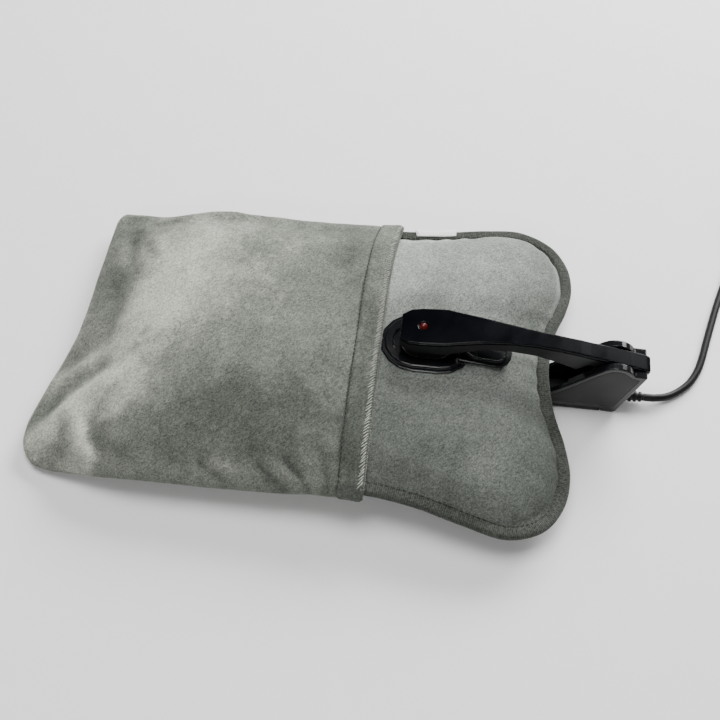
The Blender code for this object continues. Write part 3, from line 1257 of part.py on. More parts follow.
def build_nose(pivot, top):
    """The plug block under the arm's head, bored for the three contacts."""
    low = RECESS_Z + NOSE_FLOOR_GAP
    hl, hw, ch = NOSE_HALF_LENGTH, NOSE_HALF_WIDTH, NOSE_CHAMFER
    nose = loft("contact_nose", [stadium(hl - ch, hw - ch, low, NOSE_X), stadium(hl, hw, low + ch, NOSE_X),
                                 stadium(hl, hw, top, NOSE_X)], "satin_black", pivot)
    for number, x in enumerate(pin_places()):
        bore = CONTACT_RADIUS + GAP
        cut(nose, cylinder(f"contact_bore_{number}", bore, (x, 0.0, low - OVERRUN),
                           (x, 0.0, low + CONTACT_HEIGHT + 2 * GAP), None, sides=16))
        profile = [(CONTACT_BORE, CONTACT_HEIGHT), (CONTACT_RADIUS, CONTACT_HEIGHT), (CONTACT_RADIUS, 0.0),
                   (CONTACT_BORE, 0.0), (CONTACT_BORE, CONTACT_HEIGHT)]
        turned(f"nose_contact_{number + 1}", profile, (x, 0.0, low + GAP), "brass", pivot, steps=16)


# Lead and plug

def build_relief():
    """The ribbed strain relief moulded on the lead, held in the body's end wall."""
    length = RELIEF_END_X - RELIEF_INNER_X
    neck = RELIEF_RADIUS * RELIEF_NECK_SHARE
    wall_end = RELIEF_RIB_START_X - RELIEF_INNER_X
    profile = [(0.0, 0.0), (neck, 0.0), (neck, wall_end)]
    run = length - wall_end
    for k in range(RELIEF_RIBS):
        start = wall_end + run * k / RELIEF_RIBS
        radius = RELIEF_RADIUS + (RELIEF_TIP_RADIUS - RELIEF_RADIUS) * k / (RELIEF_RIBS - 1)
        valley = radius * RELIEF_NECK_SHARE
        rib_end = start + run / RELIEF_RIBS * RELIEF_RIB_SHARE
        profile += [(radius, start + GAP), (radius, rib_end)]
        profile += [(valley, rib_end + GAP), (valley, start + run / RELIEF_RIBS)]
    profile.append((0.0, length))
    profile = [(r, -along) for r, along in profile]
    turned("strain_relief", profile, (RELIEF_INNER_X, 0.0, RELIEF_HEIGHT), "rubber",
           rotation=(0.0, -HALF_TURN / 2, 0.0), steps=16)


def coil_points():
    """Two layers: in at a steady rate, over in the half turn where the spiral reverses, and out."""
    centre = COIL_CENTRE + Vector((0.0, 0.0, COIL_Z))
    half_turn = COIL_LOOP_POINTS // 2
    layer = int(COIL_LOOP_POINTS * COIL_TURNS)
    total = 2 * layer + half_turn
    middle = layer + half_turn / 2
    points = []
    for k in range(total + 1):
        turns_from_middle = abs(k - middle) / COIL_LOOP_POINTS
        radius = COIL_INNER_RADIUS + COIL_PITCH * (turns_from_middle - COIL_REVERSE_SHARE)
        angle = HALF_TURN - FULL_TURN * k / COIL_LOOP_POINTS
        climb = rounded_share(k, layer, layer + half_turn)
        points.append(centre + Vector((radius * math.cos(angle), radius * math.sin(angle), COIL_PITCH * climb)))
    return points


def coil_tail(last):
    """The lead's end, leaving the upper layer along its tangent and coming down to the plug."""
    down = COIL_PITCH + COIL_Z - PLUG_HALF_HEIGHT
    level = COIL_TAIL_SHARES[-2]
    return [last - Vector((0.0, COIL_TAIL_LENGTH * share, down * rounded_share(share, 0.0, level)))
            for share in COIL_TAIL_SHARES]


def least_gap(points, radius, skip):
    """Least distance between a tube's walls, leaving out neighbours along it."""
    least = math.inf
    points = [Vector(p) for p in points]
    for i, here in enumerate(points):
        for j in range(i + skip, len(points) - 1):
            start, run = points[j], points[j + 1] - points[j]
            share = min(1.0, max(0.0, (here - start).dot(run) / run.length_squared))
            least = min(least, (here - start - run * share).length)
    return least - 2 * radius


def build_lead():
    route = smooth_path(ROUTE, ROUTE_SPACING)
    tube("cord_run", route, CORD_RADIUS, "rubber", resolution=2)
    loops = coil_points()
    tail = coil_tail(loops[-1])
    lead_in = [loops[0] - Vector((0.0, 2 * CORD_RADIUS, 0.0))]
    tube("cord_coil", lead_in + loops + tail, CORD_RADIUS, "rubber", resolution=1)
    gap = least_gap(loops + tail, CORD_RADIUS, COIL_LOOP_POINTS // 2)
    print(f"lead coil: least gap to itself {gap * 1000:.2f} mm, wanted {COIL_LEAST_GAP * 1000:.2f} mm")
    run = sum((b - a).length for a, b in zip(route, route[1:]))
    wound = sum((b - a).length for a, b in zip(loops, loops[1:])) + COIL_TAIL_LENGTH
    print(f"lead: {run:.3f} m laid, {wound:.3f} m in the coil, {run + wound:.3f} m in all")
    build_tie(loops)
    build_plug(tail[-1])


def build_tie(loops):
    """A flat strap round the bundle, half way round the coil."""
    centre = COIL_CENTRE
    room = CORD_RADIUS + GAP
    inner_low = COIL_INNER_RADIUS - COIL_PITCH / 2 - room
    inner_high = COIL_OUTER_RADIUS + COIL_PITCH / 2 + room
    low, high = TIE_THICKNESS + GAP / 2, COIL_Z + COIL_PITCH + room
    t = TIE_THICKNESS
    tie = box("cord_tie", (centre.x - TIE_WIDTH / 2, centre.y + inner_low - t, low - t),
              (centre.x + TIE_WIDTH / 2, centre.y + inner_high + t, high + t), "rubber",
              bevel=t * EDGE_ROUND_SHARES["tie"])
    cut(tie, box("tie_inside", (centre.x - TIE_WIDTH, centre.y + inner_low, low),
                 (centre.x + TIE_WIDTH, centre.y + inner_high, high), None))


def build_plug(end):
    """A flat two-pin mains plug lying beside the coil."""
    x, z = end.x, end.z
    start = end.y - GAP
    b = PLUG_BEVEL
    rings = []
    for along, swollen in PLUG_SHARES:
        half_w = PLUG_NECK_HALF_WIDTH + (PLUG_HALF_WIDTH - PLUG_NECK_HALF_WIDTH) * swollen
        half_h = PLUG_NECK_HALF_HEIGHT + (PLUG_HALF_HEIGHT - PLUG_NECK_HALF_HEIGHT) * swollen
        y = start - PLUG_LENGTH * along
        rings.append([(x - half_w, y, z - half_h + b), (x - half_w, y, z + half_h - b),
                      (x - half_w + b, y, z + half_h), (x + half_w - b, y, z + half_h),
                      (x + half_w, y, z + half_h - b), (x + half_w, y, z - half_h + b),
                      (x + half_w - b, y, z - half_h), (x - half_w + b, y, z - half_h)])
    loft("plug_body", rings, "rubber")
    face = start - PLUG_LENGTH - GAP
    for number, side in enumerate((-1, 1)):
        pin_x = x + side * PLUG_PIN_SPACING / 2
        cylinder(f"plug_pin_{number + 1}", PLUG_PIN_RADIUS, (pin_x, face, z), (pin_x, face - PLUG_PIN_LENGTH, z),
                 "steel", bevel=PLUG_PIN_RADIUS * EDGE_ROUND_SHARES["plug pin"], sides=16)


clear_scene()
parts = new_collection("electric_hot_water_bottle")
cutters = new_collection("cutters")
sleeve_slide = make_pivot("sleeve_slide", (MOUTH_X, 0.0, SEAM_HEIGHT))
cap_pivot = make_pivot("cap_pivot", CAP_HINGE)
arm_pivot = make_pivot("arm_pivot", HINGE)
pad = pad_outline()
build_panels(pad)
build_binding(pad)
build_label(pad)
build_bladder(pad)
build_sleeve(pad, sleeve_slide)
build_flange()
build_socket_pieces()
build_cap(cap_pivot)
build_jaw()
build_jaw_pieces()
build_arm_lid(arm_pivot)
build_arm_shell(arm_pivot)
build_arm_pieces(arm_pivot)
build_relief()
build_lead()
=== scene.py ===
"""The look of an electric hot water bottle: plush pad and sleeve, with the charging clip docked."""

import math
import random

import bmesh
import bpy
import numpy as np
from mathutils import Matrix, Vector, noise


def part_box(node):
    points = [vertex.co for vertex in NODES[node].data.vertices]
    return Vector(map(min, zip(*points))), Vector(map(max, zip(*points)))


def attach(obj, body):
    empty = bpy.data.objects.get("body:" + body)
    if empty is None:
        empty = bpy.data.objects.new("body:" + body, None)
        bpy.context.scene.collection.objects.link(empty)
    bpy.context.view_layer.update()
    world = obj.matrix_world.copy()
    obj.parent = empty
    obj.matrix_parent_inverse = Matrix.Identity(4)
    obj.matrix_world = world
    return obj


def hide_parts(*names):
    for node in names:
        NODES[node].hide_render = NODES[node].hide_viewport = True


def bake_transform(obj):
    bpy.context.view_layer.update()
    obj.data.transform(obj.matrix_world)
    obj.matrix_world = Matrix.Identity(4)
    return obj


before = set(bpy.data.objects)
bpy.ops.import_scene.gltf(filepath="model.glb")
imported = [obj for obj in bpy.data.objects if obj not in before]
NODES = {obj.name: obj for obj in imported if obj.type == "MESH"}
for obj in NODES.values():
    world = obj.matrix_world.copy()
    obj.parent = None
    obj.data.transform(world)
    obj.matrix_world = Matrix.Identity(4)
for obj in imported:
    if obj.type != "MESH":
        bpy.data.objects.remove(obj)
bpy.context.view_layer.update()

MM = 0.001
HALF_TURN = math.pi
FULL_TURN = 2.0 * math.pi

# Pad: sizes that it shares with its solids, and its outline's far half as shares (along, across, seam height)
MOUTH_X = 0.020
HEAD_LENGTH = 0.112
TAIL_LENGTH = 0.170
LOBE_HALF_WIDTH = 0.104
WAIST_HALF_WIDTH = 0.0905
SEAM_HEIGHT = 0.018
CROWN_HEIGHT = 0.0368
SEAT_HEIGHT = 0.0363
EDGE_WIDTH = 0.009
EDGE_HALF_THICKNESS = 0.00135
HEAD_SHARES = [
    (0.870, 0.000, 1.17), (0.900, 0.250, 1.08), (0.960, 0.440, 0.92), (0.990, 0.610, 0.84),
    (0.965, 0.780, 0.82), (0.875, 0.925, 0.84), (0.705, 1.000, 0.94), (0.500, 0.968, 1.10),
    (0.260, 0.905, 1.24),
]
TAIL_SHARES = [
    (0.000, 1.000, 1.30), (0.412, 0.996, 1.06), (0.735, 0.978, 0.92), (0.905, 0.890, 0.74),
    (0.985, 0.640, 0.68), (1.000, 0.300, 0.70), (0.996, 0.000, 0.72),
]
SOCKET_X = 0.0470
FLANGE_HALF_LENGTH = 0.0265
FLANGE_HALF_WIDTH = 0.0193
JAW_HALF_WIDTH = 0.0100
JAW_TOP = 0.0070
JAW_TIP_X = 0.0380

# How the filled pad swells between its seams
CROWN_POWER = 2.6
CROWN_STEEPNESS = 0.57
FULLER_FAR_LOBE = 0.17
UNDERSIDE_POWER = 4.0
UNDERSIDE_HEIGHT = 2.3 * MM
UNDERSIDE_DROP = 1.6 * MM       # how much lower it hangs at the open end
SOCKET_MARGIN = 1.5 * MM
SOCKET_FADE = 16 * MM


def eased(value, low, high):
    """0 up to low, 1 from high on, and a smooth rise between them."""
    share = min(1.0, max(0.0, (value - low) / (high - low)))
    return share * share * (3.0 - 2.0 * share)


def bell(value, width):
    return math.exp(-(value / width) ** 2)


def wobble(x, y, z, size, seed=0.0):
    """Smooth noise between -1 and 1, with features about size across."""
    return noise.noise(Vector((x / size + seed, y / size - seed, z / size + 2.0 * seed)))


# Outline of the pad

def smooth_point(before, start, end, after, share):
    """Place between start and end on a smooth curve through all four points."""
    first = (start - before).length ** 0.5
    middle = (end - start).length ** 0.5
    last = (after - end).length ** 0.5
    leave = ((start - before) / first - (end - before) / (first + middle) + (end - start) / middle) * middle
    arrive = ((end - start) / middle - (after - start) / (middle + last) + (after - end) / last) * middle
    square, cube = share ** 2, share ** 3
    return (start * (2 * cube - 3 * square + 1) + leave * (cube - 2 * square + share)
            + end * (3 * square - 2 * cube) + arrive * (cube - square))


def smooth_path(points, spacing):
    points = [Vector(p) for p in points]
    padded = [2 * points[0] - points[1]] + points + [2 * points[-1] - points[-2]]
    path = []
    for i in range(1, len(points)):
        steps = max(1, round((padded[i + 1] - padded[i]).length / spacing))
        path += [smooth_point(*padded[i - 1:i + 3], k / steps) for k in range(steps)]
    return path + [points[-1]]


def pad_outline(steps):
    upper = [(MOUTH_X + along * HEAD_LENGTH, across * LOBE_HALF_WIDTH, rise * SEAM_HEIGHT)
             for along, across, rise in HEAD_SHARES]
    upper += [(MOUTH_X - along * TAIL_LENGTH, across * WAIST_HALF_WIDTH, rise * SEAM_HEIGHT)
              for along, across, rise in TAIL_SHARES]
    points = [Vector(p) for p in upper + [(x, -y, z) for x, y, z in reversed(upper[1:-1])]]
    count = len(points)
    return [smooth_point(points[i - 1], points[i], points[(i + 1) % count], points[(i + 2) % count], k / steps)
            for i in range(count) for k in range(steps)]


OUTLINE = pad_outline(10)
ROUND_MOUTH = sorted((math.atan2(p.y, p.x - MOUTH_X), math.hypot(p.x - MOUTH_X, p.y), p.z) for p in OUTLINE)
EDGE_ANGLES, EDGE_REACHES, EDGE_SEAMS = (np.array(column) for column in zip(*ROUND_MOUTH))


def edge_at(x, y):
    """Distance of the outline from the mouth's centre, and its seam height, toward a place."""
    angle = math.atan2(y, x - MOUTH_X)
    return (float(np.interp(angle, EDGE_ANGLES, EDGE_REACHES, period=FULL_TURN)),
            float(np.interp(angle, EDGE_ANGLES, EDGE_SEAMS, period=FULL_TURN)))


def seam_lift(x, y):
    """How far the seam, its tape and its stitches waver up and down together."""
    return 0.45 * MM * wobble(x, y, 0.0, 22 * MM, 6.4)


# Heights of the pad

def socket_nearness(x, y):
    """1 over the socket's flange, falling to 0 round it."""
    straight = FLANGE_HALF_LENGTH - FLANGE_HALF_WIDTH
    along = max(0.0, abs(x - SOCKET_X) - straight)
    return 1.0 - eased(math.hypot(along, y) - FLANGE_HALF_WIDTH - SOCKET_MARGIN, 0.0, SOCKET_FADE)


def jaw_nearness(x, y):
    """1 over the clip's lower jaw, falling to 0 beside it."""
    over = 1.0 - eased(abs(y), 2 * JAW_HALF_WIDTH, 4 * JAW_HALF_WIDTH)
    return over * eased(x, MOUTH_X, MOUTH_X + 0.7 * (JAW_TIP_X - MOUTH_X))


def floor_height(x, y):
    """Lowest place of the pad's underside, which the jaw lifts."""
    base = UNDERSIDE_HEIGHT - UNDERSIDE_DROP * eased(x, MOUTH_X, MOUTH_X + 2 * EDGE_WIDTH)
    return base + (JAW_TOP + 0.6 * MM - base) * jaw_nearness(x, y)


def swell(share, power, steep=CROWN_STEEPNESS):
    """1 at the pad's middle, falling to 0 at its edge."""
    return max(0.0, 1.0 - share ** power) ** steep


def pad_heights(x, y):
    """Top and underside of the pad at a place inside its outline, and the distance to the edge."""
    reach, seam = edge_at(x, y)
    radius = math.hypot(x - MOUTH_X, y)
    share = min(1.0, radius / (reach - EDGE_WIDTH))
    far_lobe = eased(x, 62 * MM, 100 * MM) * eased(y, 10 * MM, 60 * MM)
    steep = CROWN_STEEPNESS - FULLER_FAR_LOBE * far_lobe
    rise = (CROWN_HEIGHT - seam - EDGE_HALF_THICKNESS) * swell(share, CROWN_POWER, steep)
    top = seam + EDGE_HALF_THICKNESS + rise
    top += (SEAT_HEIGHT - top) * socket_nearness(x, y) * swell(share, CROWN_POWER)
    low = seam - EDGE_HALF_THICKNESS
    low -= (low - floor_height(x, y)) * swell(share, UNDERSIDE_POWER)
    return top, low, reach - radius


# Materials

PILE_LAY = math.radians(48)     # the way that the pile is brushed, seen from above
PILE_STRETCH = 1.7


def new_material(name, roughness=0.5, **settings):
    material = bpy.data.materials.new(name)
    material.use_nodes = True
    shader = material.node_tree.nodes["Principled BSDF"]
    shader.inputs["Roughness"].default_value = roughness
    for key, value in settings.items():
        shader.inputs[key.replace("_", " ").title().replace("Ior", "IOR")].default_value = value
    return material, shader


class Nodes:
    """Short calls for building one material's node tree."""

    def __init__(self, material):
        self.tree = material.node_tree

    def new(self, kind, **values):
        node = self.tree.nodes.new(kind)
        for key, value in values.items():
            if hasattr(node, key):
                setattr(node, key, value)
            else:
                node.inputs[key.replace("_", " ").title()].default_value = value
        return node

    def link(self, source, target):
        self.tree.links.new(source, target)

    def place(self):
        return self.new("ShaderNodeTexCoord").outputs["Object"]

    def mapped(self, place, kind="POINT", **inputs):
        node = self.new("ShaderNodeMapping", vector_type=kind)
        for key, value in inputs.items():
            node.inputs[key.title()].default_value = value
        self.link(place, node.inputs["Vector"])
        return node.outputs["Vector"]

    def noise(self, place, scale, detail=4.0, roughness=0.5, distortion=0.0):
        node = self.new("ShaderNodeTexNoise", scale=scale, detail=detail, roughness=roughness,
                        distortion=distortion)
        self.link(place, node.inputs["Vector"])
        return node.outputs["Fac"]

    def ramp(self, factor, stops):
        node = self.new("ShaderNodeValToRGB")
        ramp = node.color_ramp
        while len(ramp.elements) < len(stops):
            ramp.elements.new(0.5)
        for element, (position, colour) in zip(ramp.elements, stops):
            element.position = position
            element.color = (*colour, 1.0) if isinstance(colour, tuple) else (colour, colour, colour, 1.0)
        self.link(factor, node.inputs["Fac"])
        return node.outputs["Color"]

    def math(self, operation, first, second):
        node = self.new("ShaderNodeMath", operation=operation)
        for slot, value in zip(node.inputs, (first, second)):
            if isinstance(value, (int, float)):
                slot.default_value = value
            else:
                self.link(value, slot)
        return node.outputs[0]

    def weighted(self, *parts):
        """Sum of parts, each as (value, weight)."""
        total = None
        for value, weight in parts:
            part = self.math("MULTIPLY", value, weight)
            total = self.math("ADD", total, part) if total else part
        return total

    def multiplied(self, first, second):
        """Product of two colours."""
        node = self.new("ShaderNodeMix", data_type="RGBA", blend_type="MULTIPLY")
        node.inputs[0].default_value = 1.0
        self.link(first, node.inputs[6])
        self.link(second, node.inputs[7])
        return node.outputs[2]

    def bump(self, height, strength, distance, shader, before=None):
        node = self.new("ShaderNodeBump", strength=strength, distance=distance)
        self.link(height, node.inputs["Height"])
        if before:
            self.link(before, node.inputs["Normal"])
        self.link(node.outputs["Normal"], shader.inputs["Normal"])
        return node.outputs["Normal"]


def plush(name, dark, middle, light, patch=14.0, seed=0.0, mottle=1.0):
    """Short pile laid one way, with fine grain, a soft sheen, and patches of brushed pile and painted light
    and shade from values on the mesh.
    """
    material, shader = new_material(name, 0.95, specular_ior_level=0.06, sheen_weight=0.30,
                                    sheen_roughness=0.30, sheen_tint=(0.92, 0.95, 0.88, 1.0))
    nodes = Nodes(material)
    place = nodes.mapped(nodes.place(), location=(seed, 0.7 * seed, 0.0))
    pile = nodes.mapped(place, "TEXTURE", rotation=(0.0, 0.0, PILE_LAY), scale=(PILE_STRETCH, 1.0, 1.0))
    broad = nodes.noise(place, patch, 2.0, 0.5, 0.4)
    blotch = nodes.noise(place, 4.2 * patch, 2.0, 0.5, 0.5)
    crumb = nodes.noise(place, 260.0, 1.0, 0.5, 0.9)
    tuft = nodes.noise(pile, 900.0, 1.0, 0.5, 0.3)
    grain = nodes.noise(pile, 1700.0, 1.0, 0.6, 0.2)
    # Painted light and shade, with brushed patches, held as values on the mesh
    brushed_and_shaded = nodes.new("ShaderNodeAttribute", attribute_name="nap").outputs["Fac"]
    fine = nodes.weighted((tuft, 0.36), (grain, 0.64))
    tone = nodes.weighted((broad, 0.36), (blotch, 0.34 * mottle), (crumb, 0.22 * mottle), (brushed_and_shaded, 0.50))
    even = 0.32 - 0.28 * mottle     # keeps the mean tone the same at any mottle
    colour = nodes.ramp(nodes.math("ADD", tone, even), [(0.20, dark), (0.50, middle), (0.80, light)])
    speck = nodes.ramp(fine, [(0.34, 0.40), (0.66, 1.0)])
    nodes.link(nodes.multiplied(colour, speck), shader.inputs["Base Color"])
    first = nodes.bump(nodes.noise(place, 150.0, 3.0, 0.55), 0.18, 0.9 * MM, shader)
    nodes.bump(fine, 0.5, 0.45 * MM, shader, first)
    return material


def woven_tape(name, dark, light, rib=1.1):
    """Ribbed tape: its UVs run along it in millimetres, and rib is the pitch of its ribs."""
    material, shader = new_material(name, 0.92, specular_ior_level=0.08, sheen_weight=0.12,
                                    sheen_roughness=0.4)
    nodes = Nodes(material)
    uv = nodes.new("ShaderNodeUVMap")
    wave = nodes.new("ShaderNodeTexWave", wave_type="BANDS", bands_direction="X", scale=FULL_TURN / rib / 20.0,
                     distortion=0.6)
    nodes.link(uv.outputs["UV"], wave.inputs["Vector"])
    place = nodes.place()
    soil = nodes.noise(place, 60.0, 3.0, 0.5)
    grain = nodes.noise(place, 950.0, 1.0, 0.6)
    tone = nodes.weighted((wave.outputs["Fac"], 0.14), (soil, 0.26), (grain, 0.60))
    nodes.link(nodes.ramp(tone, [(0.32, dark), (0.68, light)]), shader.inputs["Base Color"])
    first = nodes.bump(wave.outputs["Fac"], 0.35, 0.2 * MM, shader)
    nodes.bump(grain, 0.8, 0.45 * MM, shader, first)
    return material


def plastic(name, colour, roughness, grain, grain_depth, wear=0.35, edge=0.5 * MM, gloss=0.5):
    """Moulded plastic: fine spark-eroded grain, faint smears, uneven gloss and polished rounded edges."""
    material, shader = new_material(name, roughness, specular_ior_level=gloss)
    nodes = Nodes(material)
    place = nodes.place()
    smear = nodes.noise(place, 38.0, 5.0, 0.6, 0.8)
    fine = nodes.noise(place, grain, 3.0, 0.6)
    lighter = tuple(min(1.0, c * (1.0 + wear) + 0.005 * wear) for c in colour)
    nodes.link(nodes.ramp(smear, [(0.35, colour), (0.75, lighter)]), shader.inputs["Base Color"])
    rough = nodes.ramp(smear, [(0.3, max(0.05, roughness - 0.06)), (0.7, min(1.0, roughness + 0.10))])
    nodes.link(rough, shader.inputs["Roughness"])
    rounding = nodes.new("ShaderNodeBevel", samples=4, radius=edge)
    turned = nodes.new("ShaderNodeVectorMath", operation="DOT_PRODUCT")
    nodes.link(rounding.outputs["Normal"], turned.inputs[0])
    nodes.link(nodes.new("ShaderNodeNewGeometry").outputs["Normal"], turned.inputs[1])
    shine = nodes.ramp(turned.outputs["Value"], [(0.84, 0.70), (0.985, gloss)])
    nodes.link(shine, shader.inputs["Specular IOR Level"])
    nodes.bump(fine, grain_depth, 0.1 * MM, shader, rounding.outputs["Normal"])
    return material


def metal(name, colour, roughness):
    """Drawn or turned metal with fine brushed lines."""
    material, shader = new_material(name, roughness, metallic=1.0)
    nodes = Nodes(material)
    lines = nodes.noise(nodes.mapped(nodes.place(), scale=(1.0, 30.0, 1.0)), 300.0, 4.0, 0.7)
    darker = tuple(c * 0.8 for c in colour)
    nodes.link(nodes.ramp(lines, [(0.3, darker), (0.7, colour)]), shader.inputs["Base Color"])
    nodes.link(nodes.ramp(lines, [(0.2, roughness * 0.8), (0.8, roughness * 1.4)]), shader.inputs["Roughness"])
    nodes.bump(lines, 0.1, 0.05 * MM, shader)
    return material


def rubbery(name, colour, roughness):
    return plastic(name, colour, roughness, 1600.0, 0.2, wear=0.3, gloss=0.2)


def lens(name, colour):
    """Clear coloured lens with painted shade toward its rim, where it is seen edge-on, and a faint glow."""
    material, shader = new_material(name, 0.16, coat_weight=0.35, coat_roughness=0.02, emission_strength=0.012,
                                    emission_color=(0.9, 0.02, 0.01, 1.0), specular_ior_level=0.12)
    nodes = Nodes(material)
    # Painted shade: darker where the lens is seen edge-on
    edge_on_shade = nodes.new("ShaderNodeLayerWeight", blend=0.35).outputs["Facing"]
    rim = tuple(c * 0.25 for c in colour)
    nodes.link(nodes.ramp(edge_on_shade, [(0.0, colour), (1.0, rim)]), shader.inputs["Base Color"])
    return material


SLEEVE_LOOK = plush("sleeve plush", (0.100, 0.110, 0.094), (0.236, 0.250, 0.216), (0.600, 0.614, 0.525),
                    13.0, 0.31)
PAD_LOOK = plush("pad plush", (0.090, 0.099, 0.087), (0.218, 0.235, 0.213), (0.520, 0.550, 0.516),
                 12.0, 0.77, 0.55)
# Painted light: a lighter copy of the sleeve's plush for the lip's tufts and hairs, for their lit tips
LIT_PILE_LOOK = plush("lip pile", (0.200, 0.210, 0.184), (0.420, 0.436, 0.386), (0.640, 0.652, 0.590), 30.0, 0.5)
TAPE_LOOK = woven_tape("binding tape", (0.020, 0.023, 0.019), (0.082, 0.088, 0.077))
THREAD_LOOK = woven_tape("thread", (0.020, 0.023, 0.019), (0.050, 0.055, 0.047), 0.4)
LABEL_LOOK = woven_tape("label tape", (0.820, 0.820, 0.800), (0.920, 0.920, 0.900), 0.5)
GLOSS_LOOK = plastic("black gloss plastic", (0.0028, 0.0032, 0.0038), 0.13, 700.0, 0.04, 0.25, gloss=0.36)
ARM_LOOK = plastic("black lid plastic", (0.0010, 0.0014, 0.0023), 0.22, 1300.0, 0.06, 0.1, 0.9 * MM, 0.035)
SHELL_LOOK = plastic("black shell plastic", (0.0075, 0.0080, 0.0084), 0.40, 1300.0, 0.20, gloss=0.34)
PANEL_LOOK = plastic("grey panel plastic", (0.0165, 0.0157, 0.0155), 0.58, 1500.0, 0.45, 0.2, gloss=0.25)
BASE_LOOK = plastic("black base plastic", (0.0080, 0.0080, 0.0084), 0.50, 1200.0, 0.3, gloss=0.3)
RUBBER_LOOK = rubbery("black rubber", (0.0042, 0.0042, 0.0047), 0.42)
GRIP_LOOK = rubbery("grip rubber", (0.0140, 0.0140, 0.0150), 0.75)
STEEL_LOOK = metal("steel", (0.60, 0.60, 0.59), 0.28)
BRASS_LOOK = metal("plated brass", (0.72, 0.55, 0.28), 0.24)
BOARD_LOOK = plastic("circuit board", (0.020, 0.090, 0.035), 0.45, 300.0, 0.3, 0.6)
CERAMIC_LOOK = plastic("insulating moulding", (0.66, 0.63, 0.57), 0.55, 600.0, 0.3, 0.1)
FILM_LOOK = plastic("bag film", (0.30, 0.33, 0.34), 0.35, 120.0, 0.6, 0.3)
LAMP_LOOK = lens("red lens", (0.060, 0.002, 0.002))

NODE_LOOKS = {
    GLOSS_LOOK: "socket_flange socket_cap jaw_shell",
    ARM_LOOK: "arm_top_cover",
    SHELL_LOOK: "arm_lower_shell contact_nose heater_cage",
    PANEL_LOOK: "side_panel_far side_panel_near",
    BASE_LOOK: "base_cover",
    RUBBER_LOOK: "strain_relief cord_run cord_coil cord_tie plug_body",
    GRIP_LOOK: "jaw_grip",
    STEEL_LOOK: "clamp_ring heater_plate heating_element cap_hinge_pin base_screw_1 base_screw_2 hinge_pin "
                "torsion_spring arm_screw plug_pin_1 plug_pin_2",
    BRASS_LOOK: "socket_pin_1 socket_pin_2 socket_pin_3 nose_contact_1 nose_contact_2 nose_contact_3",
    BOARD_LOOK: "control_board",
    CERAMIC_LOOK: "thermostat thermal_fuse terminal_block",
    FILM_LOOK: "water_bladder",
    LAMP_LOOK: "indicator_lamp",
    PAD_LOOK: "pad_top_panel pad_bottom_panel",
    SLEEVE_LOOK: "cover_sleeve",
    TAPE_LOOK: "edge_binding",
    LABEL_LOOK: "care_label",
}
for look, names in NODE_LOOKS.items():
    for name in names.split():
        for slot in NODES[name].material_slots:
            slot.material = look


# Pieces

COLLISION_GAP = 1.0 * MM


def new_object(name, data):
    obj = bpy.data.objects.new(name, data)
    bpy.context.scene.collection.objects.link(obj)
    return obj


def add_piece(name, vertices, faces, look, smooth=True):
    mesh = bpy.data.meshes.new(name)
    mesh.from_pydata([tuple(v) for v in vertices], [], faces)
    mesh.validate()
    shaped = bmesh.new()
    shaped.from_mesh(mesh)
    bmesh.ops.recalc_face_normals(shaped, faces=shaped.faces)
    shaped.to_mesh(mesh)
    shaped.free()
    mesh.materials.append(look)
    if smooth:
        mesh.shade_smooth()
    return new_object(name, mesh)


def add_square(name, half_size, z, look):
    corners = [(-half_size, -half_size, z), (half_size, -half_size, z), (half_size, half_size, z),
               (-half_size, half_size, z)]
    return add_piece(name, corners, [(0, 1, 2, 3)], look)


def layer_faces(index, cells, turned):
    """Faces of a skin of two layers, whose grid points index numbers. The turned layer is wound back."""
    faces = []
    for i, j in cells:
        for side in ("top", "low"):
            face = [index[side, a, b] for a, b in ((i, j), (i + 1, j), (i + 1, j + 1), (i, j + 1))]
            faces.append(face[::-1] if side == turned else face)
    return faces


def settle(obj, frames, cap, pressure=0.0, gravity=0.0, colliders=(), pinned=(), shrink=0.0, stiffness=15.0,
           bending=0.5):
    """Run the piece as cloth. Gives its points before, and their steps, none of them longer than cap."""
    scene = bpy.context.scene
    start = np.array(points_of(obj))
    for other in colliders:
        other.modifiers.new("hit", "COLLISION")
        other.collision.thickness_outer = COLLISION_GAP
        other.collision.cloth_friction = 8.0
    cloth = obj.modifiers.new("settle", "CLOTH")
    facts = cloth.settings
    facts.quality = 6
    facts.mass = 0.3
    facts.tension_stiffness = stiffness
    facts.compression_stiffness = stiffness
    facts.shear_stiffness = stiffness / 3.0
    facts.bending_stiffness = bending
    facts.air_damping = 3.0
    facts.effector_weights.gravity = gravity
    facts.use_pressure = pressure != 0.0
    facts.uniform_pressure_force = pressure
    facts.shrink_min = shrink
    cloth.collision_settings.use_collision = bool(colliders)
    cloth.collision_settings.distance_min = COLLISION_GAP
    cloth.collision_settings.collision_quality = 3
    if pinned:
        group = obj.vertex_groups.new(name="held")
        group.add(list(pinned), 1.0, "REPLACE")
        facts.vertex_group_mass = "held"
    cloth.point_cache.frame_start = 1
    cloth.point_cache.frame_end = frames
    for number in range(1, frames + 1):
        scene.frame_set(number)
    settled = obj.evaluated_get(bpy.context.evaluated_depsgraph_get())
    end = np.array([v.co[:] for v in settled.to_mesh().vertices])
    settled.to_mesh_clear()
    obj.modifiers.remove(cloth)
    for other in colliders:
        other.modifiers.remove(other.modifiers["hit"])
    obj.vertex_groups.clear()
    scene.frame_set(1)
    step = end - start
    length = np.linalg.norm(step, axis=1, keepdims=True)
    step *= np.minimum(1.0, cap / np.maximum(length, 1e-9))
    return start, step


def points_of(obj):
    return [v.co[:] for v in obj.data.vertices]


def set_points(obj, points):
    for vertex, point in zip(obj.data.vertices, points):
        vertex.co = point
    obj.data.update()


def set_nap_and_shade(obj, values):
    """How light or dark the pile looks at each point: brushed patches, and painted light and shade."""
    layer = obj.data.attributes.new("nap", "FLOAT", "POINT")
    layer.data.foreach_set("value", np.asarray(values, dtype=np.float32))


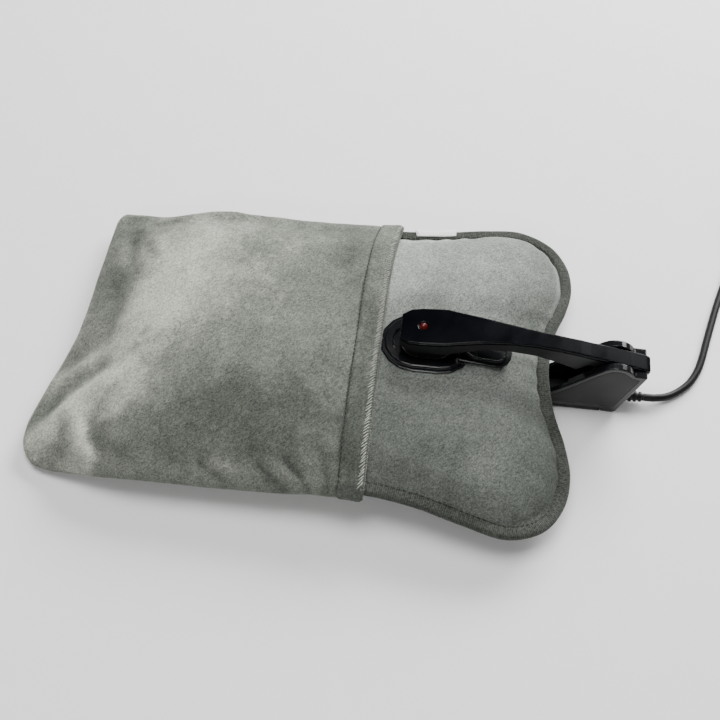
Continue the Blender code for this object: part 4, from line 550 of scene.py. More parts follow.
def bake(obj):
    """Keep the mesh as its modifiers leave it."""
    graph = bpy.context.evaluated_depsgraph_get()
    mesh = bpy.data.meshes.new_from_object(obj.evaluated_get(graph))
    obj.modifiers.clear()
    obj.data = mesh


def subdivide(obj):
    smoother = obj.modifiers.new("smooth", "SUBSURF")
    smoother.levels = 1
    bake(obj)


def thicken(obj, thickness):
    """Give the skin its thickness, all of it outward."""
    shell = obj.modifiers.new("thickness", "SOLIDIFY")
    shell.thickness = thickness
    shell.offset = 1.0
    bake(obj)


# Pad

PAD_CELLS = 76
PAD_TUCK = 3.2 * MM             # how far inside the outline the plush ends, within its binding
PUCKERS_PER_RADIAN = 52.0
PUCKER_HEIGHT = 0.45 * MM
RIDGE_HEIGHT = 0.7 * MM         # of the filling that presses against the binding
RIDGE_INSIDE = 8.8 * MM
RIDGE_WIDTH = 2.2 * MM
PAD_BLOW = 0.8                  # share of the settled swelling that is kept


def disc_grid(cells):
    """A square grid pressed into a disc, as (x, y) of points in rows."""
    rows = []
    for j in range(cells + 1):
        v = 2.0 * j / cells - 1.0
        rows.append([(u * math.sqrt(1.0 - v * v / 2.0), v * math.sqrt(1.0 - u * u / 2.0))
                     for u in (2.0 * i / cells - 1.0 for i in range(cells + 1))])
    return rows


def pad_mesh():
    """Both plush layers as one closed skin that ends inside the binding."""
    vertices, index = [], {}
    for j, row in enumerate(disc_grid(PAD_CELLS)):
        for i, (dx, dy) in enumerate(row):
            reach, seam = edge_at(MOUTH_X + dx, dy) if dx or dy else edge_at(MOUTH_X + 1.0, 0.0)
            x, y = MOUTH_X + dx * (reach - PAD_TUCK), dy * (reach - PAD_TUCK)
            border = i in (0, PAD_CELLS) or j in (0, PAD_CELLS)
            top, low, _ = pad_heights(x, y)
            index["top", i, j] = index["low", i, j] = len(vertices)
            vertices.append((x, y, seam if border else top))
            if not border:
                index["low", i, j] = len(vertices)
                vertices.append((x, y, low))
    cells = ((i, j) for j in range(PAD_CELLS) for i in range(PAD_CELLS))
    return vertices, layer_faces(index, cells, "low")


def pad_details(points):
    """Puckers along the seam, the filled bag's unevenness, room for the hard parts, and per-point lightness
    with painted light and shade.
    """
    shaped, nap_and_shade_values = [], []
    for x, y, z in points:
        top, low, inside = pad_heights(x, y)
        upper = z > (top + low) / 2.0
        near_edge = math.exp(-max(0.0, inside - EDGE_WIDTH) / (9 * MM))
        free = 1.0 - (socket_nearness(x, y) if upper else jaw_nearness(x, y))
        angle = math.atan2(y, x - MOUTH_X)
        phase = PUCKERS_PER_RADIAN * angle + 3.0 * wobble(x, y, 0.0, 30 * MM, 3.0)
        pucker = math.sin(phase) * near_edge * PUCKER_HEIGHT * eased(inside, 4 * MM, 10 * MM)
        swellings = (0.55 * wobble(x, y, 0.0, 38 * MM, 1.3) + 0.30 * wobble(x, y, 0.0, 16 * MM, 5.1)) * MM
        shift = pucker + swellings * free * eased(inside, 9 * MM, 22 * MM)
        z += shift if upper else -0.4 * shift
        ridge = RIDGE_HEIGHT * bell(inside - RIDGE_INSIDE, RIDGE_WIDTH)
        follow = seam_lift(x, y) * bell(max(0.0, inside - 4 * MM), 6 * MM)
        z += ridge + follow if upper else follow - 0.4 * ridge
        # Painted light and shade: a lit strip beside the binding, the far side lighter and the near side
        # darker
        painted_rim_light = 0.30 * bell(inside - 9.8 * MM, 2.0 * MM) * eased(y, -10 * MM, 50 * MM)
        nap = painted_rim_light + 0.36 * max(-0.85, min(0.85, y / (80 * MM))) - 0.06
        # Darker over the head end, away from its edge
        nap_and_shade_values.append(nap - 0.24 * eased(x, 84 * MM, 122 * MM) * eased(inside, 0.0, 10 * MM))
        if upper:
            z += min(0.0, SEAT_HEIGHT - 0.1 * MM - z) * socket_nearness(x, y)
        else:
            z += max(0.0, JAW_TOP + 0.35 * MM - z) * eased(jaw_nearness(x, y), 0.6, 0.98)
            z = max(z, 0.2 * MM)
        shaped.append((x, y, z))
    return shaped, nap_and_shade_values


pad = add_piece("plush_pad", *pad_mesh(), PAD_LOOK)
start, step = settle(pad, 16, 2.5 * MM, pressure=3.0)
keep = np.array([eased(pad_heights(x, y)[2], 8 * MM, 26 * MM)
                 * (1.0 - max(socket_nearness(x, y), jaw_nearness(x, y))) for x, y, _ in start])
set_points(pad, start + step * keep[:, None] * PAD_BLOW)
subdivide(pad)
points, nap_and_shade_values = pad_details(points_of(pad))
set_points(pad, points)
set_nap_and_shade(pad, nap_and_shade_values)
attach(pad, "bottle")
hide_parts("pad_top_panel", "pad_bottom_panel")


# The hinge's torsion spring, copied as it stands (on the real clip its upper leg turns with the arm)

spring = new_object("wound_spring", NODES["torsion_spring"].data.copy())
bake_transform(spring)
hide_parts("torsion_spring")


# Binding, with its stitches

TAPE_HALF = 2.4 * MM            # half the bound edge's thickness, outside and inside the tape
TAPE_INNER = 1.15 * MM
STITCH_LINE_MM = 6.3            # inside the outline
STITCH_SIDES = 5
STITCH_RINGS = ((0.0, 0.35, -0.6), (0.15, 0.9, 0.1), (0.5, 1.0, 0.45), (0.85, 0.9, 0.1), (1.0, 0.35, -0.6))


def swept_tape(name, path, profile, look):
    """Sweep a closed profile of (out, up) round a closed path, with UVs in millimetres along it."""
    count, width = len(path), len(profile)
    vertices, along = [], [0.0]
    for k, point in enumerate(path):
        run = path[(k + 1) % count] - path[k - 1]
        out = Vector((run.y, -run.x, 0.0)).normalized()
        wave = 0.35 * MM * wobble(point.x, point.y, 0.0, 14 * MM, 2.2)
        lift = seam_lift(point.x, point.y)
        for u, v in profile:
            place = point + out * (u + (wave if u < -5 * MM else 0.0))
            vertices.append((place.x, place.y, place.z + v + lift))
        along.append(along[-1] + (path[(k + 1) % count] - point).length)
    faces = []
    for k in range(count):
        here, after = k * width, (k + 1) % count * width
        for i in range(width):
            j = (i + 1) % width
            faces.append((here + i, here + j, after + j, after + i))
    piece = add_piece(name, vertices, faces, look)
    layer = piece.data.uv_layers.new(name="tape")
    for polygon in piece.data.polygons:
        ring = polygon.index // width
        for loop, vertex in zip(polygon.loop_indices, polygon.vertices):
            row = vertex // width
            reach = along[row] if row != 0 or ring == 0 else along[-1]
            layer.data[loop].uv = (reach / MM, vertex % width)
    return piece


def mirrored(profile):
    return [(out, -up) for out, up in reversed(profile)]


over_edge = [(-0.2 * MM, 1.3 * MM), (-0.9 * MM, 2.1 * MM), (-2.2 * MM, TAPE_HALF), (-5.2 * MM, TAPE_HALF),
             (-7.0 * MM, TAPE_HALF - 0.2 * MM), (-7.6 * MM, TAPE_HALF - 0.6 * MM), (-7.5 * MM, TAPE_INNER),
             (-2.0 * MM, TAPE_INNER)]
tape_profile = mirrored(over_edge[:1]) + [(0.0, 0.0)] + over_edge + mirrored(over_edge[1:])
fine_outline = pad_outline(16)
binding = swept_tape("binding_tape", fine_outline, tape_profile, TAPE_LOOK)
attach(binding, "bottle")
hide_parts("edge_binding")


def capsule_row(name, places, radius, look):
    """Many small stitches in one mesh: each is (start, end, up), and its middle arches up."""
    sides, last = STITCH_SIDES, len(STITCH_RINGS) - 1
    vertices, faces = [], []
    for start, end, up in places:
        run = (end - start).normalized()
        side = run.cross(up).normalized()
        first = len(vertices)
        for share, size, rise in STITCH_RINGS:
            middle = start.lerp(end, share) + up * (rise * radius)
            for k in range(sides):
                angle = FULL_TURN * k / sides
                vertices.append(middle + (side * math.cos(angle) + up * math.sin(angle)) * radius * size)
        for ring in range(last):
            for k in range(sides):
                a, b = first + ring * sides + k, first + ring * sides + (k + 1) % sides
                faces.append((a, b, b + sides, a + sides))
        faces += [tuple(first + ring * sides + k for k in range(sides)) for ring in (0, last)]
    return add_piece(name, vertices, faces, look)


def binding_stitches():
    """The stitches through the tape, above and below, all round the pad."""
    places = []
    pitch, length = 3.1 * MM, 2.3 * MM
    travelled, target = 0.0, 0.0
    count = len(fine_outline)
    for k in range(count):
        here, after = fine_outline[k], fine_outline[(k + 1) % count]
        run = after - here
        while target < travelled + run.length:
            point = here + run * ((target - travelled) / run.length)
            unit = run.normalized()
            out = Vector((unit.y, -unit.x, 0.0))
            lift = seam_lift(point.x, point.y)
            for sign in (1, -1):
                height = sign * (TAPE_HALF + 0.02 * MM) + lift
                base = point - out * STITCH_LINE_MM * MM + Vector((0.0, 0.0, height))
                ends = base - unit * length / 2, base + unit * length / 2
                places.append((*ends, Vector((0.0, 0.0, float(sign)))))
            target += pitch
        travelled += run.length
    return capsule_row("binding_stitches", places, 0.18 * MM, TAPE_LOOK)


stitches = binding_stitches()
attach(stitches, "bottle")


# Sleeve

ALONG_PLACES = [0.0, 1.4, 3.6, 6.4, 9.2, 11.0, 12.0, 12.7, 13.5, 14.8, 17.0, 20.0]    # mm behind the lip
ALONG_CELLS = 40                # from there to the closed end
ACROSS_CELLS = 56
SLEEVE_LENGTH_MM = 181.0
LIP_HALF_WIDTH_MM = 92.3
LIP_X = 20.0 * MM
SLEEVE_FLOOR = 2.0 * MM
SLEEVE_CLEARANCE = 0.9 * MM     # from the pad and its binding
CLOTH_THICKNESS = 1.8 * MM
HEM_WIDTH = 12.4 * MM
FREE_END_X = -128 * MM          # where the pad inside ends and the cloth lies flat
RELAX_ROUNDS = 1400

# Inner skin in mm: the closed end as (place across, x, height) from the near to the far side, and each side
# seam as (x, distance from the middle, height)
END_LINE = [
    (-1.0, -163.0, 4.5), (-0.97, -168.0, 4.5), (-0.93, -171.0, 4.6), (-0.88, -173.4, 4.7),
    (-0.82, -174.8, 4.8), (-0.70, -175.3, 4.9), (-0.60, -173.6, 5.2), (-0.43, -170.5, 6.0),
    (-0.22, -166.0, 7.0), (0.0, -162.2, 8.0), (0.22, -161.0, 8.4), (0.43, -161.0, 8.7), (0.60, -160.6, 9.0),
    (0.80, -160.4, 9.3), (0.92, -160.4, 9.4), (0.96, -159.9, 9.5), (0.985, -158.6, 9.5), (1.0, -155.8, 9.5),
]
NEAR_SEAM = [
    (-175, 85.0, 4.5), (-165, 86.0, 4.5), (-160, 86.8, 4.8), (-150, 88.0, 5.8), (-140, 89.4, 8.0),
    (-130, 91.0, 11.0), (-120, 92.2, 13.5), (-110, 92.4, 16.0), (-100, 92.4, 18.0), (-40, 92.3, 18.0),
    (-20, 92.3, 19.0), (0, 92.2, 21.5), (25, 92.2, 23.5),
]
FAR_SEAM = [
    (-158, 96.6, 9.5), (-150, 96.0, 10.5), (-140, 94.4, 13.0), (-129, 92.2, 15.0), (-115, 91.4, 17.5),
    (-104, 93.0, 20.5), (-95, 94.2, 23.0), (-79, 95.4, 24.5), (-60, 93.8, 23.5), (-40, 92.6, 23.0),
    (0, 92.6, 23.0), (25, 92.4, 24.0),
]


def from_line(line, place, column):
    """A column of the line's rows at a place of its first one, in metres."""
    return float(np.interp(place, [p[0] for p in line], [p[column] for p in line])) * MM


def lip_x(y):
    """Where the sleeve's lip lies: it runs out toward both sides, the far one more."""
    share = y / (LIP_HALF_WIDTH_MM * MM)
    return LIP_X + (0.6 * MM * share ** 2 if share < 0.0 else 4.6 * MM * share ** 3)


def sleeve_plan(u, v):
    """Place of a point: u from the lip to the closed end, v from the near side to the far side."""
    lip = lip_x(v * LIP_HALF_WIDTH_MM * MM)
    x = lip + (from_line(END_LINE, v, 1) - lip) * u
    half_width = from_line(FAR_SEAM if v > 0 else NEAR_SEAM, x / MM, 1)
    half_width -= (1.6 if v < 0.0 else -0.9) * MM * eased(u, 0.965, 1.0)
    return x, v * half_width


def rim_height(x, v, u):
    """Height of the side seam, which falls to the empty flat end."""
    if u > 0.999:               # the closed end's own row
        return from_line(END_LINE, v, 2)
    return from_line(FAR_SEAM if v > 0 else NEAR_SEAM, x / MM, 2)


def cover_limits(x, y):
    """Lowest place for the sleeve's top and highest for its underside, where the pad is inside."""
    top, low, inside = pad_heights(x, y)
    if inside < -1.6 * MM:
        return SLEEVE_FLOOR, 1.0
    seam = edge_at(x, y)[1]
    return max(top, seam + TAPE_HALF) + SLEEVE_CLEARANCE, min(low, seam - TAPE_HALF) - SLEEVE_CLEARANCE


def relax(levels, limit, keep, fixed, pull):
    """Stretch one layer between its seams over what it lies on."""
    for _ in range(RELAX_ROUNDS):
        mean = levels.copy()
        mean[1:-1, 1:-1] = (levels[:-2, 1:-1] + levels[2:, 1:-1] + levels[1:-1, :-2] + levels[1:-1, 2:]) / 4.0
        mean[1:-1, 1:-1] -= pull
        mean[0, 1:-1] = mean[1, 1:-1]
        levels = np.where(fixed, levels, keep(mean, limit))
    return levels


def sleeve_surfaces():
    """Inner skin of the sleeve: it rests on the pad, closes along three sides and lies on the floor."""
    shares = [p / SLEEVE_LENGTH_MM for p in ALONG_PLACES]
    shares += [shares[-1] + (1.0 - shares[-1]) * k / ALONG_CELLS for k in range(1, ALONG_CELLS + 1)]
    cols, rows = len(shares), ACROSS_CELLS + 1
    x, y, over, under, rim = (np.zeros((cols, rows)) for _ in range(5))
    for i, u in enumerate(shares):
        for j in range(rows):
            t = 2.0 * j / ACROSS_CELLS - 1.0
            v = math.copysign(abs(t) ** 0.92, t)
            x[i, j], y[i, j] = sleeve_plan(u, v)
            over[i, j], under[i, j] = cover_limits(x[i, j], y[i, j])
            rim[i, j] = rim_height(x[i, j], v, u)
    fixed = np.zeros((cols, rows), bool)
    fixed[:, 0] = fixed[:, -1] = fixed[-1, :] = True
    empty = np.array([[eased(-place, 126 * MM, 142 * MM) for place in row] for row in x])
    sag = 0.010 * MM + 0.085 * MM * empty
    top = relax(np.maximum(over, rim) * ~fixed + rim * fixed, over, np.maximum, fixed, sag[1:-1, 1:-1])
    low = relax(np.where(fixed, rim, SLEEVE_FLOOR), np.minimum(under, 1.0),
                lambda a, b: np.maximum(SLEEVE_FLOOR, np.minimum(a, b)), fixed, 0.02 * MM)
    return x, y, top, low


def sleeve_mesh():
    """The skin, the points that keep their places when it settles, and each one's side of the seam."""
    x, y, top, low = sleeve_surfaces()
    cols, rows = x.shape
    vertices, index, sides = [], {}, []
    for i in range(cols):
        for j in range(rows):
            seam = j in (0, rows - 1) or i == cols - 1
            index["top", i, j] = index["low", i, j] = len(vertices)
            vertices.append((x[i, j], y[i, j], top[i, j]))
            sides.append(0 if seam else 1)
            if not seam:
                index["low", i, j] = len(vertices)
                vertices.append((x[i, j], y[i, j], low[i, j]))
                sides.append(-1)
    cells = ((i, j) for i in range(cols - 1) for j in range(rows - 1))
    held = {index[side, i, j] for side in ("top", "low") for j in range(rows) for i in range(2)}
    held = sorted(held | {k for k, side in enumerate(sides) if side == 0})
    return vertices, layer_faces(index, cells, "top"), held, sides


def smooth_free(obj, held, times):
    """Even out pinches, away from the lip and the side seams."""
    shaped = bmesh.new()
    shaped.from_mesh(obj.data)
    still = set(held)
    loose = [v for v in shaped.verts if v.index not in still]
    for _ in range(times):
        bmesh.ops.smooth_vert(shaped, verts=loose, factor=0.5, use_axis_x=True, use_axis_y=True,
                              use_axis_z=True)
    shaped.to_mesh(obj.data)
    shaped.free()


SEAM_MARGIN = 1.7 * MM          # of the sleeve's side seams outside the pad's outline


def keep_clear(points, sides):
    """Put back outside the pad and its binding whatever the draping pulled through them."""
    clear = []
    for (x, y, z), side in zip(points, sides):
        radius = math.hypot(x - MOUTH_X, y)
        inside = edge_at(x, y)[0] - radius
        if side == 0 and inside > -SEAM_MARGIN:
            share = (inside + SEAM_MARGIN) / radius
            x, y = x + (x - MOUTH_X) * share, y + y * share
        over, under = cover_limits(x, y)
        if side > 0:
            z = max(z, over)
        elif side < 0:
            z = min(z, max(under, SLEEVE_FLOOR))
        clear.append((x, y, max(z, SLEEVE_FLOOR)))
    return clear


vertices, faces, held, sides = sleeve_mesh()
sleeve = add_piece("plush_sleeve", vertices, faces, SLEEVE_LOOK)
ground = add_square("drape_ground", 0.4, SLEEVE_FLOOR - COLLISION_GAP, SLEEVE_LOOK)
start, step = settle(sleeve, 22, 6.0 * MM, gravity=0.5, colliders=(pad, binding, ground), pinned=held,
                     shrink=-0.02, stiffness=12.0, bending=0.25)
bpy.data.objects.remove(ground, do_unlink=True)
set_points(sleeve, start + step)
smooth_free(sleeve, held, 3)
set_points(sleeve, keep_clear(points_of(sleeve), sides))
subdivide(sleeve)

# Folds of the cloth, in mm: width, height, painted lightness (light on its ridge, shade in its valley), and
# places along each
FOLDS = [
    (5.8, 2.2, 0.42, (-168, -72), (-158, -62), (-148, -54), (-139, -47), (-129, -40)),
    (5.4, 1.2, 0.24, (-166, -34), (-153, -27), (-142, -22)),
    (2.9, 1.5, 0.42, (-147, -56), (-141, -64), (-136, -74), (-128, -86)),
    (10.0, -2.2, -0.44, (-143, 33), (-140, 13), (-141, -2), (-149, -15), (-157, -21)),
    (7.6, -1.8, -0.62, (-137, -28), (-147, -34), (-157, -43), (-166, -57)),
    (5.4, -1.1, -0.42, (-149, -64), (-149, -71), (-150, -78)),
    (4.6, -1.2, -0.42, (-126, -43), (-131, -53), (-133, -62), (-128, -72)),
    (7.0, -1.0, -0.40, (-144, 87), (-138, 74)), (3.4, -0.9, -0.22, (-141, 64), (-138, 48)),
    (3.4, 0.8, 0.16, (-147, 66), (-144, 50)), (3.0, -0.7, -0.20, (-129, 61), (-121, 49)),
    (2.6, 0.6, 0.12, (-124, 66), (-118, 56)), (2.4, -0.4, -0.14, (-103, 46), (-99, 22)),
    (1.8, -0.5, -0.22, (-119, -20), (-113, -16), (-106, -14)), (1.8, -0.4, -0.18, (-117, -12), (-112, -6)),
    (1.6, 0.4, 0.10, (-122, -2), (-116, 4)), (2.0, -0.8, -0.30, (-67, -84), (-60, -87), (-53, -90)),
    (2.6, 0.6, 0.12, (-60, -82), (-50, -87)), (2.0, -0.9, -0.32, (-36, -82), (-29, -87), (-20, -90)),
    (2.6, 0.8, 0.14, (-30, -80), (-20, -86), (-12, -89)),
    (1.8, -1.0, -0.36, (-22, -78), (-14, -84), (-8, -90)),
    (2.6, 0.8, 0.12, (-16, -76), (-9, -82), (-2, -89)), (2.4, -0.7, -0.20, (-4, -72), (0, -80), (2, -89)),
    (2.4, 0.5, 0.10, (4, -70), (5, -84)), (3.0, -0.6, -0.18, (-84, -82), (-76, -88)),
    (4.4, -0.7, -0.12, (-20, 84), (-32, 70)), (5.5, -0.8, -0.10, (-70, 90), (-86, 78)),
]

# Patches of painted light and shade on the pile, partly brushed pile too, in mm: middle, reach along and
# across, turn in degrees, lightness
PATCHES = [
    (-106, 20, 66, 29, 78, 0.62), (-60, 58, 60, 24, 10, -0.06), (-20, -20, 40, 30, 30, -0.12),
    (-15, -55, 40, 26, 60, -0.40), (-60, -48, 54, 26, -20, -0.36), (-95, -70, 46, 20, 20, -0.28),
    (-160, 55, 12, 40, 0, -0.04), (0, 45, 16, 46, 0, -0.16), (14, -20, 8, 70, 0, -0.34),
    (14, -70, 9, 34, 0, -0.38), (-45, 10, 30, 18, 40, -0.06), (-148, 20, 10, 44, -6, -0.14),
    (-144, -42, 26, 36, 0, 0.58), (-113, -46, 18, 24, 0, 0.24), (-1, 62, 12, 34, 0, -0.16),
]


HEM_RISE = 1.0 * MM
LIP_ROLL = 0.7 * MM
LIP_DIP = 0.9 * MM
SEAM_DEPTH = 0.8 * MM           # of the groove beside the hem, and the deepest dent where the pad is inside
FREE_DEPTH = 2.2 * MM           # how much deeper a dent may be past the pad
SMOOTH_FROM_X = -112 * MM


def fold_effects(x, y):
    """Heights, and lightness values with painted light and shade, that the folds and patches give at many
    places.
    """
    height, nap = np.zeros_like(x), np.zeros_like(x)
    for width, rise, light, *places in FOLDS:
        nearest = np.full_like(x, np.inf)
        for (ax, ay), (bx, by) in zip(places, places[1:]):
            run = (bx - ax) ** 2 + (by - ay) ** 2
            share = np.clip(((x - ax) * (bx - ax) + (y - ay) * (by - ay)) / run, 0.0, 1.0)
            away = np.hypot(x - ax - share * (bx - ax), y - ay - share * (by - ay))
            nearest = np.minimum(nearest, away)
        height += rise * np.exp(-(nearest / width) ** 2)
        # Painted light on a fold's ridge and painted shade in its valley
        nap += light * np.exp(-(nearest / (1.15 * width)) ** 2)
    for px, py, long, short, turn, light in PATCHES:
        c, s = math.cos(math.radians(turn)), math.sin(math.radians(turn))
        along, across = (x - px) * c + (y - py) * s, (y - py) * c - (x - px) * s
        # Painted light and shade of the patches
        nap += light * np.exp(-(along / long) ** 2 - (across / short) ** 2)
    return height, nap


def sleeve_details(obj):
    """Thick folded hem at the mouth, its seam, the folds, the cloth's unevenness, and lightness values with
    painted shade in the seam's groove and along the lip.
    """
    shaped, nap_and_shade_values = [], []
    x_mm = np.array([v.co.x / MM for v in obj.data.vertices])
    y_mm = np.array([v.co.y / MM for v in obj.data.vertices])
    heights, brushed_and_shaded = fold_effects(x_mm, y_mm)
    for vertex, fold, nap in zip(obj.data.vertices, heights, brushed_and_shaded):
        x, y, z = vertex.co
        normal = vertex.normal
        back = lip_x(y) - x
        body = eased(back, HEM_WIDTH, HEM_WIDTH + 5 * MM)
        groove = bell(back - HEM_WIDTH - 0.4 * MM, 0.7 * MM)
        hem = HEM_RISE * (1.0 - eased(back, HEM_WIDTH - 1.2 * MM, HEM_WIDTH + 0.2 * MM))
        hem += LIP_ROLL * bell(back - 1.6 * MM, 3.6 * MM) - LIP_DIP * bell(back, 0.8 * MM)
        uneven = 0.8 * MM * wobble(x, y, z, 42 * MM, 4.2) + 0.40 * MM * wobble(x, y, z, 13 * MM, 8.8)
        ripple = 0.45 * MM * wobble(0.3 * x, y, z, 12 * MM, 1.7) * (1.0 - body)
        outward = 1.0 if normal.z > -0.2 else 0.25
        shift = (hem - SEAM_DEPTH * groove + uneven * (0.2 + 0.8 * body) + ripple) * outward
        if normal.z > -0.1:
            shift += fold * MM * body * eased(normal.z, 0.05, 0.55)
            # Painted shade: dark in the groove beside the hem and along the lip, between its tufts
            nap = nap - 0.9 * groove - 0.55 * bell(back, 2.2 * MM)
        else:
            nap = -0.1
        deepest = SEAM_DEPTH + (FREE_DEPTH if x < FREE_END_X else 0.0)
        place = vertex.co + normal * max(shift, -deepest)
        place.z = max(place.z, SLEEVE_FLOOR)
        shaped.append(place)
        nap_and_shade_values.append(nap)
    return shaped, nap_and_shade_values


points, nap_and_shade_values = sleeve_details(sleeve)
set_points(sleeve, points)
set_nap_and_shade(sleeve, nap_and_shade_values)
smooth_free(sleeve, [v.index for v in sleeve.data.vertices if v.co.x > SMOOTH_FROM_X], 3)
thicken(sleeve, CLOTH_THICKNESS)
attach(sleeve, "sleeve")
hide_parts("cover_sleeve")


TRIM_HALF_LENGTH = 90.0 * MM    # of what runs along the hem
RAY_HEIGHT = 0.1


def sleeve_top(back, y):
    """Place on the sleeve's top at a distance behind its lip, and the cloth's normal there."""
    _, point, normal, _ = sleeve.ray_cast(Vector((lip_x(y) - back, y, RAY_HEIGHT)), Vector((0.0, 0.0, -1.0)))
    return point, normal


def hem_stitches():
    """The row of lock stitches that holds the folded hem down."""
    places, pitch, length = [], 2.7 * MM, 2.2 * MM
    y = -TRIM_HALF_LENGTH
    while y < TRIM_HALF_LENGTH:
        ends = []
        for share in (-0.5, 0.5):
            point, normal = sleeve_top(HEM_WIDTH + 0.4 * MM, y + share * length)
            ends.append((point - normal * 0.02 * MM, normal))
        places.append((ends[0][0], ends[1][0], ends[0][1]))
        y += pitch
    return capsule_row("hem_stitches", places, 0.30 * MM, THREAD_LOOK)


def lip_tufts():
    """Oblique tufts of pile over the folded lip and down its face, side by side like the strands of a rope."""
    random.seed(5)
    places, y = [], 1.0 * MM - TRIM_HALF_LENGTH
    while y < TRIM_HALF_LENGTH - 1.0 * MM:
        lean = random.uniform(1.2, 1.7) * MM
        ends = []
        for back, across in ((random.uniform(1.9, 2.8) * MM, y - lean), (0.5 * MM, y + lean)):
            point, normal = sleeve_top(back, across)
            ends.append((point + normal * 0.12 * MM, normal))
        edge = ends[1][0] + Vector((0.55 * MM, 0.4 * MM, -0.1 * MM))
        places.append((ends[0][0], edge, (ends[0][1] + ends[1][1]).normalized()))
        foot = edge + Vector((0.15 * MM, 1.0 * MM, -1.9 * MM))
        places.append((edge - Vector((0.1 * MM, 0.0, 0.0)), foot, Vector((1.0, 0.0, 0.2)).normalized()))
        y += random.uniform(1.5, 1.9) * MM
    return capsule_row("lip_tufts", places, 0.36 * MM, LIT_PILE_LOOK)


FUZZ_LOWEST = 6 * MM
FUZZ_AREA = 0.16 * MM ** 2      # of cloth to one hair


def lip_fuzz():
    """Fine hairs standing out of the folded lip."""
    random.seed(11)
    vertices, faces = [], []
    for polygon in sleeve.data.polygons:
        centre, normal = polygon.center, polygon.normal
        on_lip = lip_x(centre.y) - centre.x <= 1.8 * MM and (normal.x >= 0.4 or normal.z >= 0.1)
        if not on_lip or centre.z < FUZZ_LOWEST or abs(centre.y) > TRIM_HALF_LENGTH:
            continue
        for _ in range(max(1, round(polygon.area / FUZZ_AREA))):
            spread = Vector((random.uniform(-0.5, 0.5), random.uniform(-1.0, 1.0), random.uniform(-0.5, 0.5)))
            base = centre + spread * 1.1 * MM - normal * 0.3 * MM
            loose = Vector([random.gauss(0.0, 0.40) for _ in range(3)])
            way = (normal + Vector((0.35, 0.0, 0.25)) + loose).normalized()
            length = random.uniform(0.5, 1.1) * MM
            turn = Vector((random.uniform(-1, 1), random.uniform(-1, 1), 1.0))
            side = way.cross(turn).normalized() * 0.06 * MM
            first = len(vertices)
            bend = Vector((0.0, 0.0, -0.15 * length))
            bent = base + way * length * 0.6
            tip = base + way * length + bend
            vertices += [base - side, base + side, bent + side * 0.7, bent - side * 0.7, tip]
            faces += [(first, first + 1, first + 2, first + 3), (first + 3, first + 2, first + 4)]
    return add_piece("lip_fuzz", vertices, faces, LIT_PILE_LOOK, smooth=False)


for trim in (hem_stitches(), lip_tufts(), lip_fuzz()):
    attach(trim, "sleeve")


# Label

LABEL_THICKNESS = 0.35 * MM
LABEL_ALONG = 12
LABEL_ACROSS = 6


def label_mesh():
    """A short tape sewn flat on the binding, which it follows, with its outer long edge just past it."""
    box_low, box_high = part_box("care_label")
    far_side = [p for p in OUTLINE if p.y > 0.5 * LOBE_HALF_WIDTH and MOUTH_X < p.x < 2.5 * SOCKET_X]
    places, reach, seams = zip(*sorted((p.x, p.y, p.z) for p in far_side))
    vertices, faces = [], []
    for k in range(LABEL_ALONG + 1):
        share = k / LABEL_ALONG
        for i in range(LABEL_ACROSS + 1):
            out = (0.9 - 5.6 * i / LABEL_ACROSS) * MM
            slant = 1.6 * MM * (1.0 - i / LABEL_ACROSS) * (1.0 - share)
            x = box_low[0] + (box_high[0] - box_low[0]) * share - slant
            seam = float(np.interp(x, places, seams))
            z = seam + TAPE_HALF + 0.25 * MM - 0.9 * MM * eased(out, -1.6 * MM, 0.9 * MM)
            z += 0.15 * MM * math.sin(7.0 * share + i)
            vertices.append((x, float(np.interp(x, places, reach)) + out, z))
    row = LABEL_ACROSS + 1
    for k in range(LABEL_ALONG):
        for first in range(k * row, k * row + LABEL_ACROSS):
            faces.append((first, first + 1, first + row + 1, first + row))
    return vertices, faces


label = add_piece("blank_label", *label_mesh(), LABEL_LOOK)
layer = label.data.uv_layers.new(name="tape")
for polygon in label.data.polygons:
    for loop, vertex in zip(polygon.loop_indices, polygon.vertices):
        place = label.data.vertices[vertex].co
        layer.data[loop].uv = (place.x / MM, place.y / MM)
thicken(label, LABEL_THICKNESS)
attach(label, "bottle")
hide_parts("care_label")


# Mains lead

CORD_RADIUS = 2.25 * MM
ROUTE = [
    (0.1748, 0.0000, 0.0040), (0.1800, 0.0000, 0.0040), (0.1855, 0.0013, 0.0034),
    (0.1910, 0.0040, 0.0026), (0.1965, 0.0080, 0.0023), (0.2024, 0.0140, 0.0023),
    (0.2078, 0.0235, 0.0023), (0.2112, 0.0335, 0.0023), (0.2138, 0.0430, 0.0023),
    (0.2163, 0.0520, 0.0023), (0.2215, 0.0700, 0.0023), (0.2280, 0.0900, 0.0023),
    (0.2340, 0.1090, 0.0024), (0.2385, 0.1270, 0.0028), (0.2400, 0.1400, 0.0032),
    (0.2400, 0.1460, 0.0032),
]
COIL_PITCH = 5.1 * MM
COIL_INNER_RADIUS = 19.4 * MM
COIL_TURNS = 2.5
COIL_LOOP_POINTS = 24
COIL_OUTER_RADIUS = COIL_INNER_RADIUS + COIL_PITCH * COIL_TURNS
COIL_Z = CORD_RADIUS + 1.05 * MM
COIL_CENTRE = Vector((ROUTE[-1][0] + COIL_OUTER_RADIUS, ROUTE[-1][1] + 0.3 * MM + 2 * CORD_RADIUS, COIL_Z))
COIL_TAIL = 30 * MM
PLUG_HALF_HEIGHT = 6.9 * MM


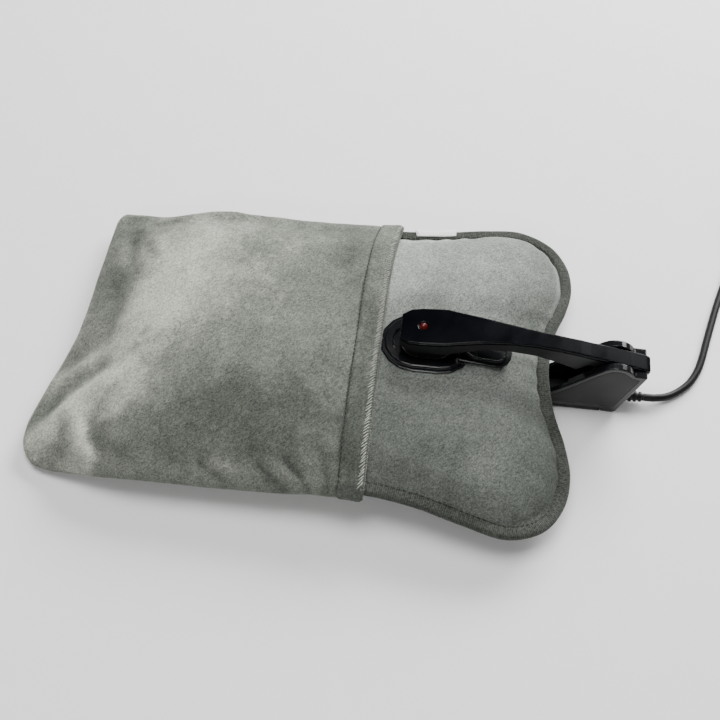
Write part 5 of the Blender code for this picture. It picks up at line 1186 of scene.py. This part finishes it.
def coil_points():
    """Two flat spirals, one on the other: the lead winds in, climbs half a turn and winds out."""
    half_turn = COIL_LOOP_POINTS // 2
    layer = int(COIL_LOOP_POINTS * COIL_TURNS)
    middle = layer + half_turn / 2
    points = []
    for k in range(2 * layer + half_turn + 1):
        turns = abs(k - middle) / COIL_LOOP_POINTS
        radius = COIL_INNER_RADIUS + COIL_PITCH * (turns - 0.25)
        angle = HALF_TURN - FULL_TURN * k / COIL_LOOP_POINTS
        climb = eased(k, layer, layer + half_turn)
        from_centre = Vector((radius * math.cos(angle), radius * math.sin(angle), COIL_PITCH * climb))
        points.append(COIL_CENTRE + from_centre)
    return points


def whole_lead():
    """The lead's middle line: the laid stretch, the coil, and the end that comes down to the plug."""
    loops = coil_points()
    last = loops[-1]
    down = COIL_PITCH + COIL_Z - PLUG_HALF_HEIGHT
    tail = [last - Vector((0.0, COIL_TAIL * share, down * eased(share, 0.0, 0.75)))
            for share in (0.25, 0.5, 0.75, 1.0)]
    return smooth_path(ROUTE, 4 * MM) + [loops[0] - Vector((0.0, CORD_RADIUS, 0.0))] + loops + tail


def add_lead():
    points = whole_lead()
    curve = bpy.data.curves.new("mains_lead", "CURVE")
    curve.dimensions = "3D"
    curve.bevel_depth = CORD_RADIUS
    curve.bevel_resolution = 4
    curve.use_fill_caps = True
    spline = curve.splines.new("POLY")
    spline.points.add(len(points) - 1)
    for target, point in zip(spline.points, points):
        target.co = (*point, 1.0)
    curve.materials.append(RUBBER_LOOK)
    return new_object("mains_lead", curve), sum((b - a).length for a, b in zip(points, points[1:]))


lead, lead_length = add_lead()
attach(lead, "bottle")
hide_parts("cord_run", "cord_coil")


# Floor, light and camera

def add_floor():
    look = plastic("floor sweep", (0.90, 0.90, 0.90), 0.9, 40.0, 0.0, 0.02, gloss=0.1)
    floor = add_square("floor", 6.0, -0.3 * MM, look)


def add_light(name, place, target, size, power):
    data = bpy.data.lights.new(name, "AREA")
    data.shape = "RECTANGLE"
    data.size, data.size_y = size
    data.energy = power
    light = new_object(name, data)
    light.location = place
    light.rotation_euler = (Vector(target) - Vector(place)).to_track_quat("-Z", "Y").to_euler()


def add_camera():
    data = bpy.data.cameras.new("camera")
    data.lens = 50.0
    data.sensor_width = 36.0
    data.clip_start = 0.01
    camera = new_object("camera", data)
    camera.location = (0.0471, -0.3189, 0.5015)
    camera.rotation_euler = (math.radians(33.34), 0.0, math.radians(6.84))
    bpy.context.scene.camera = camera


add_floor()
add_light("top", (-0.1, 0.25, 1.6), (0.0, 0.0, 0.0), (0.9, 0.9), 22.0)
add_light("far", (0.60, 1.25, 0.75), (0.0, 0.0, 0.0), (1.2, 0.6), 52.0)
add_light("near", (0.05, -1.10, 0.80), (0.06, 0.0, 0.05), (0.8, 0.14), 4.0)
add_camera()
world = bpy.data.worlds.new("studio")
world.use_nodes = True
background = world.node_tree.nodes["Background"].inputs
background["Color"].default_value = (1.0, 1.0, 1.0, 1.0)
background["Strength"].default_value = 0.22
bpy.context.scene.world = world
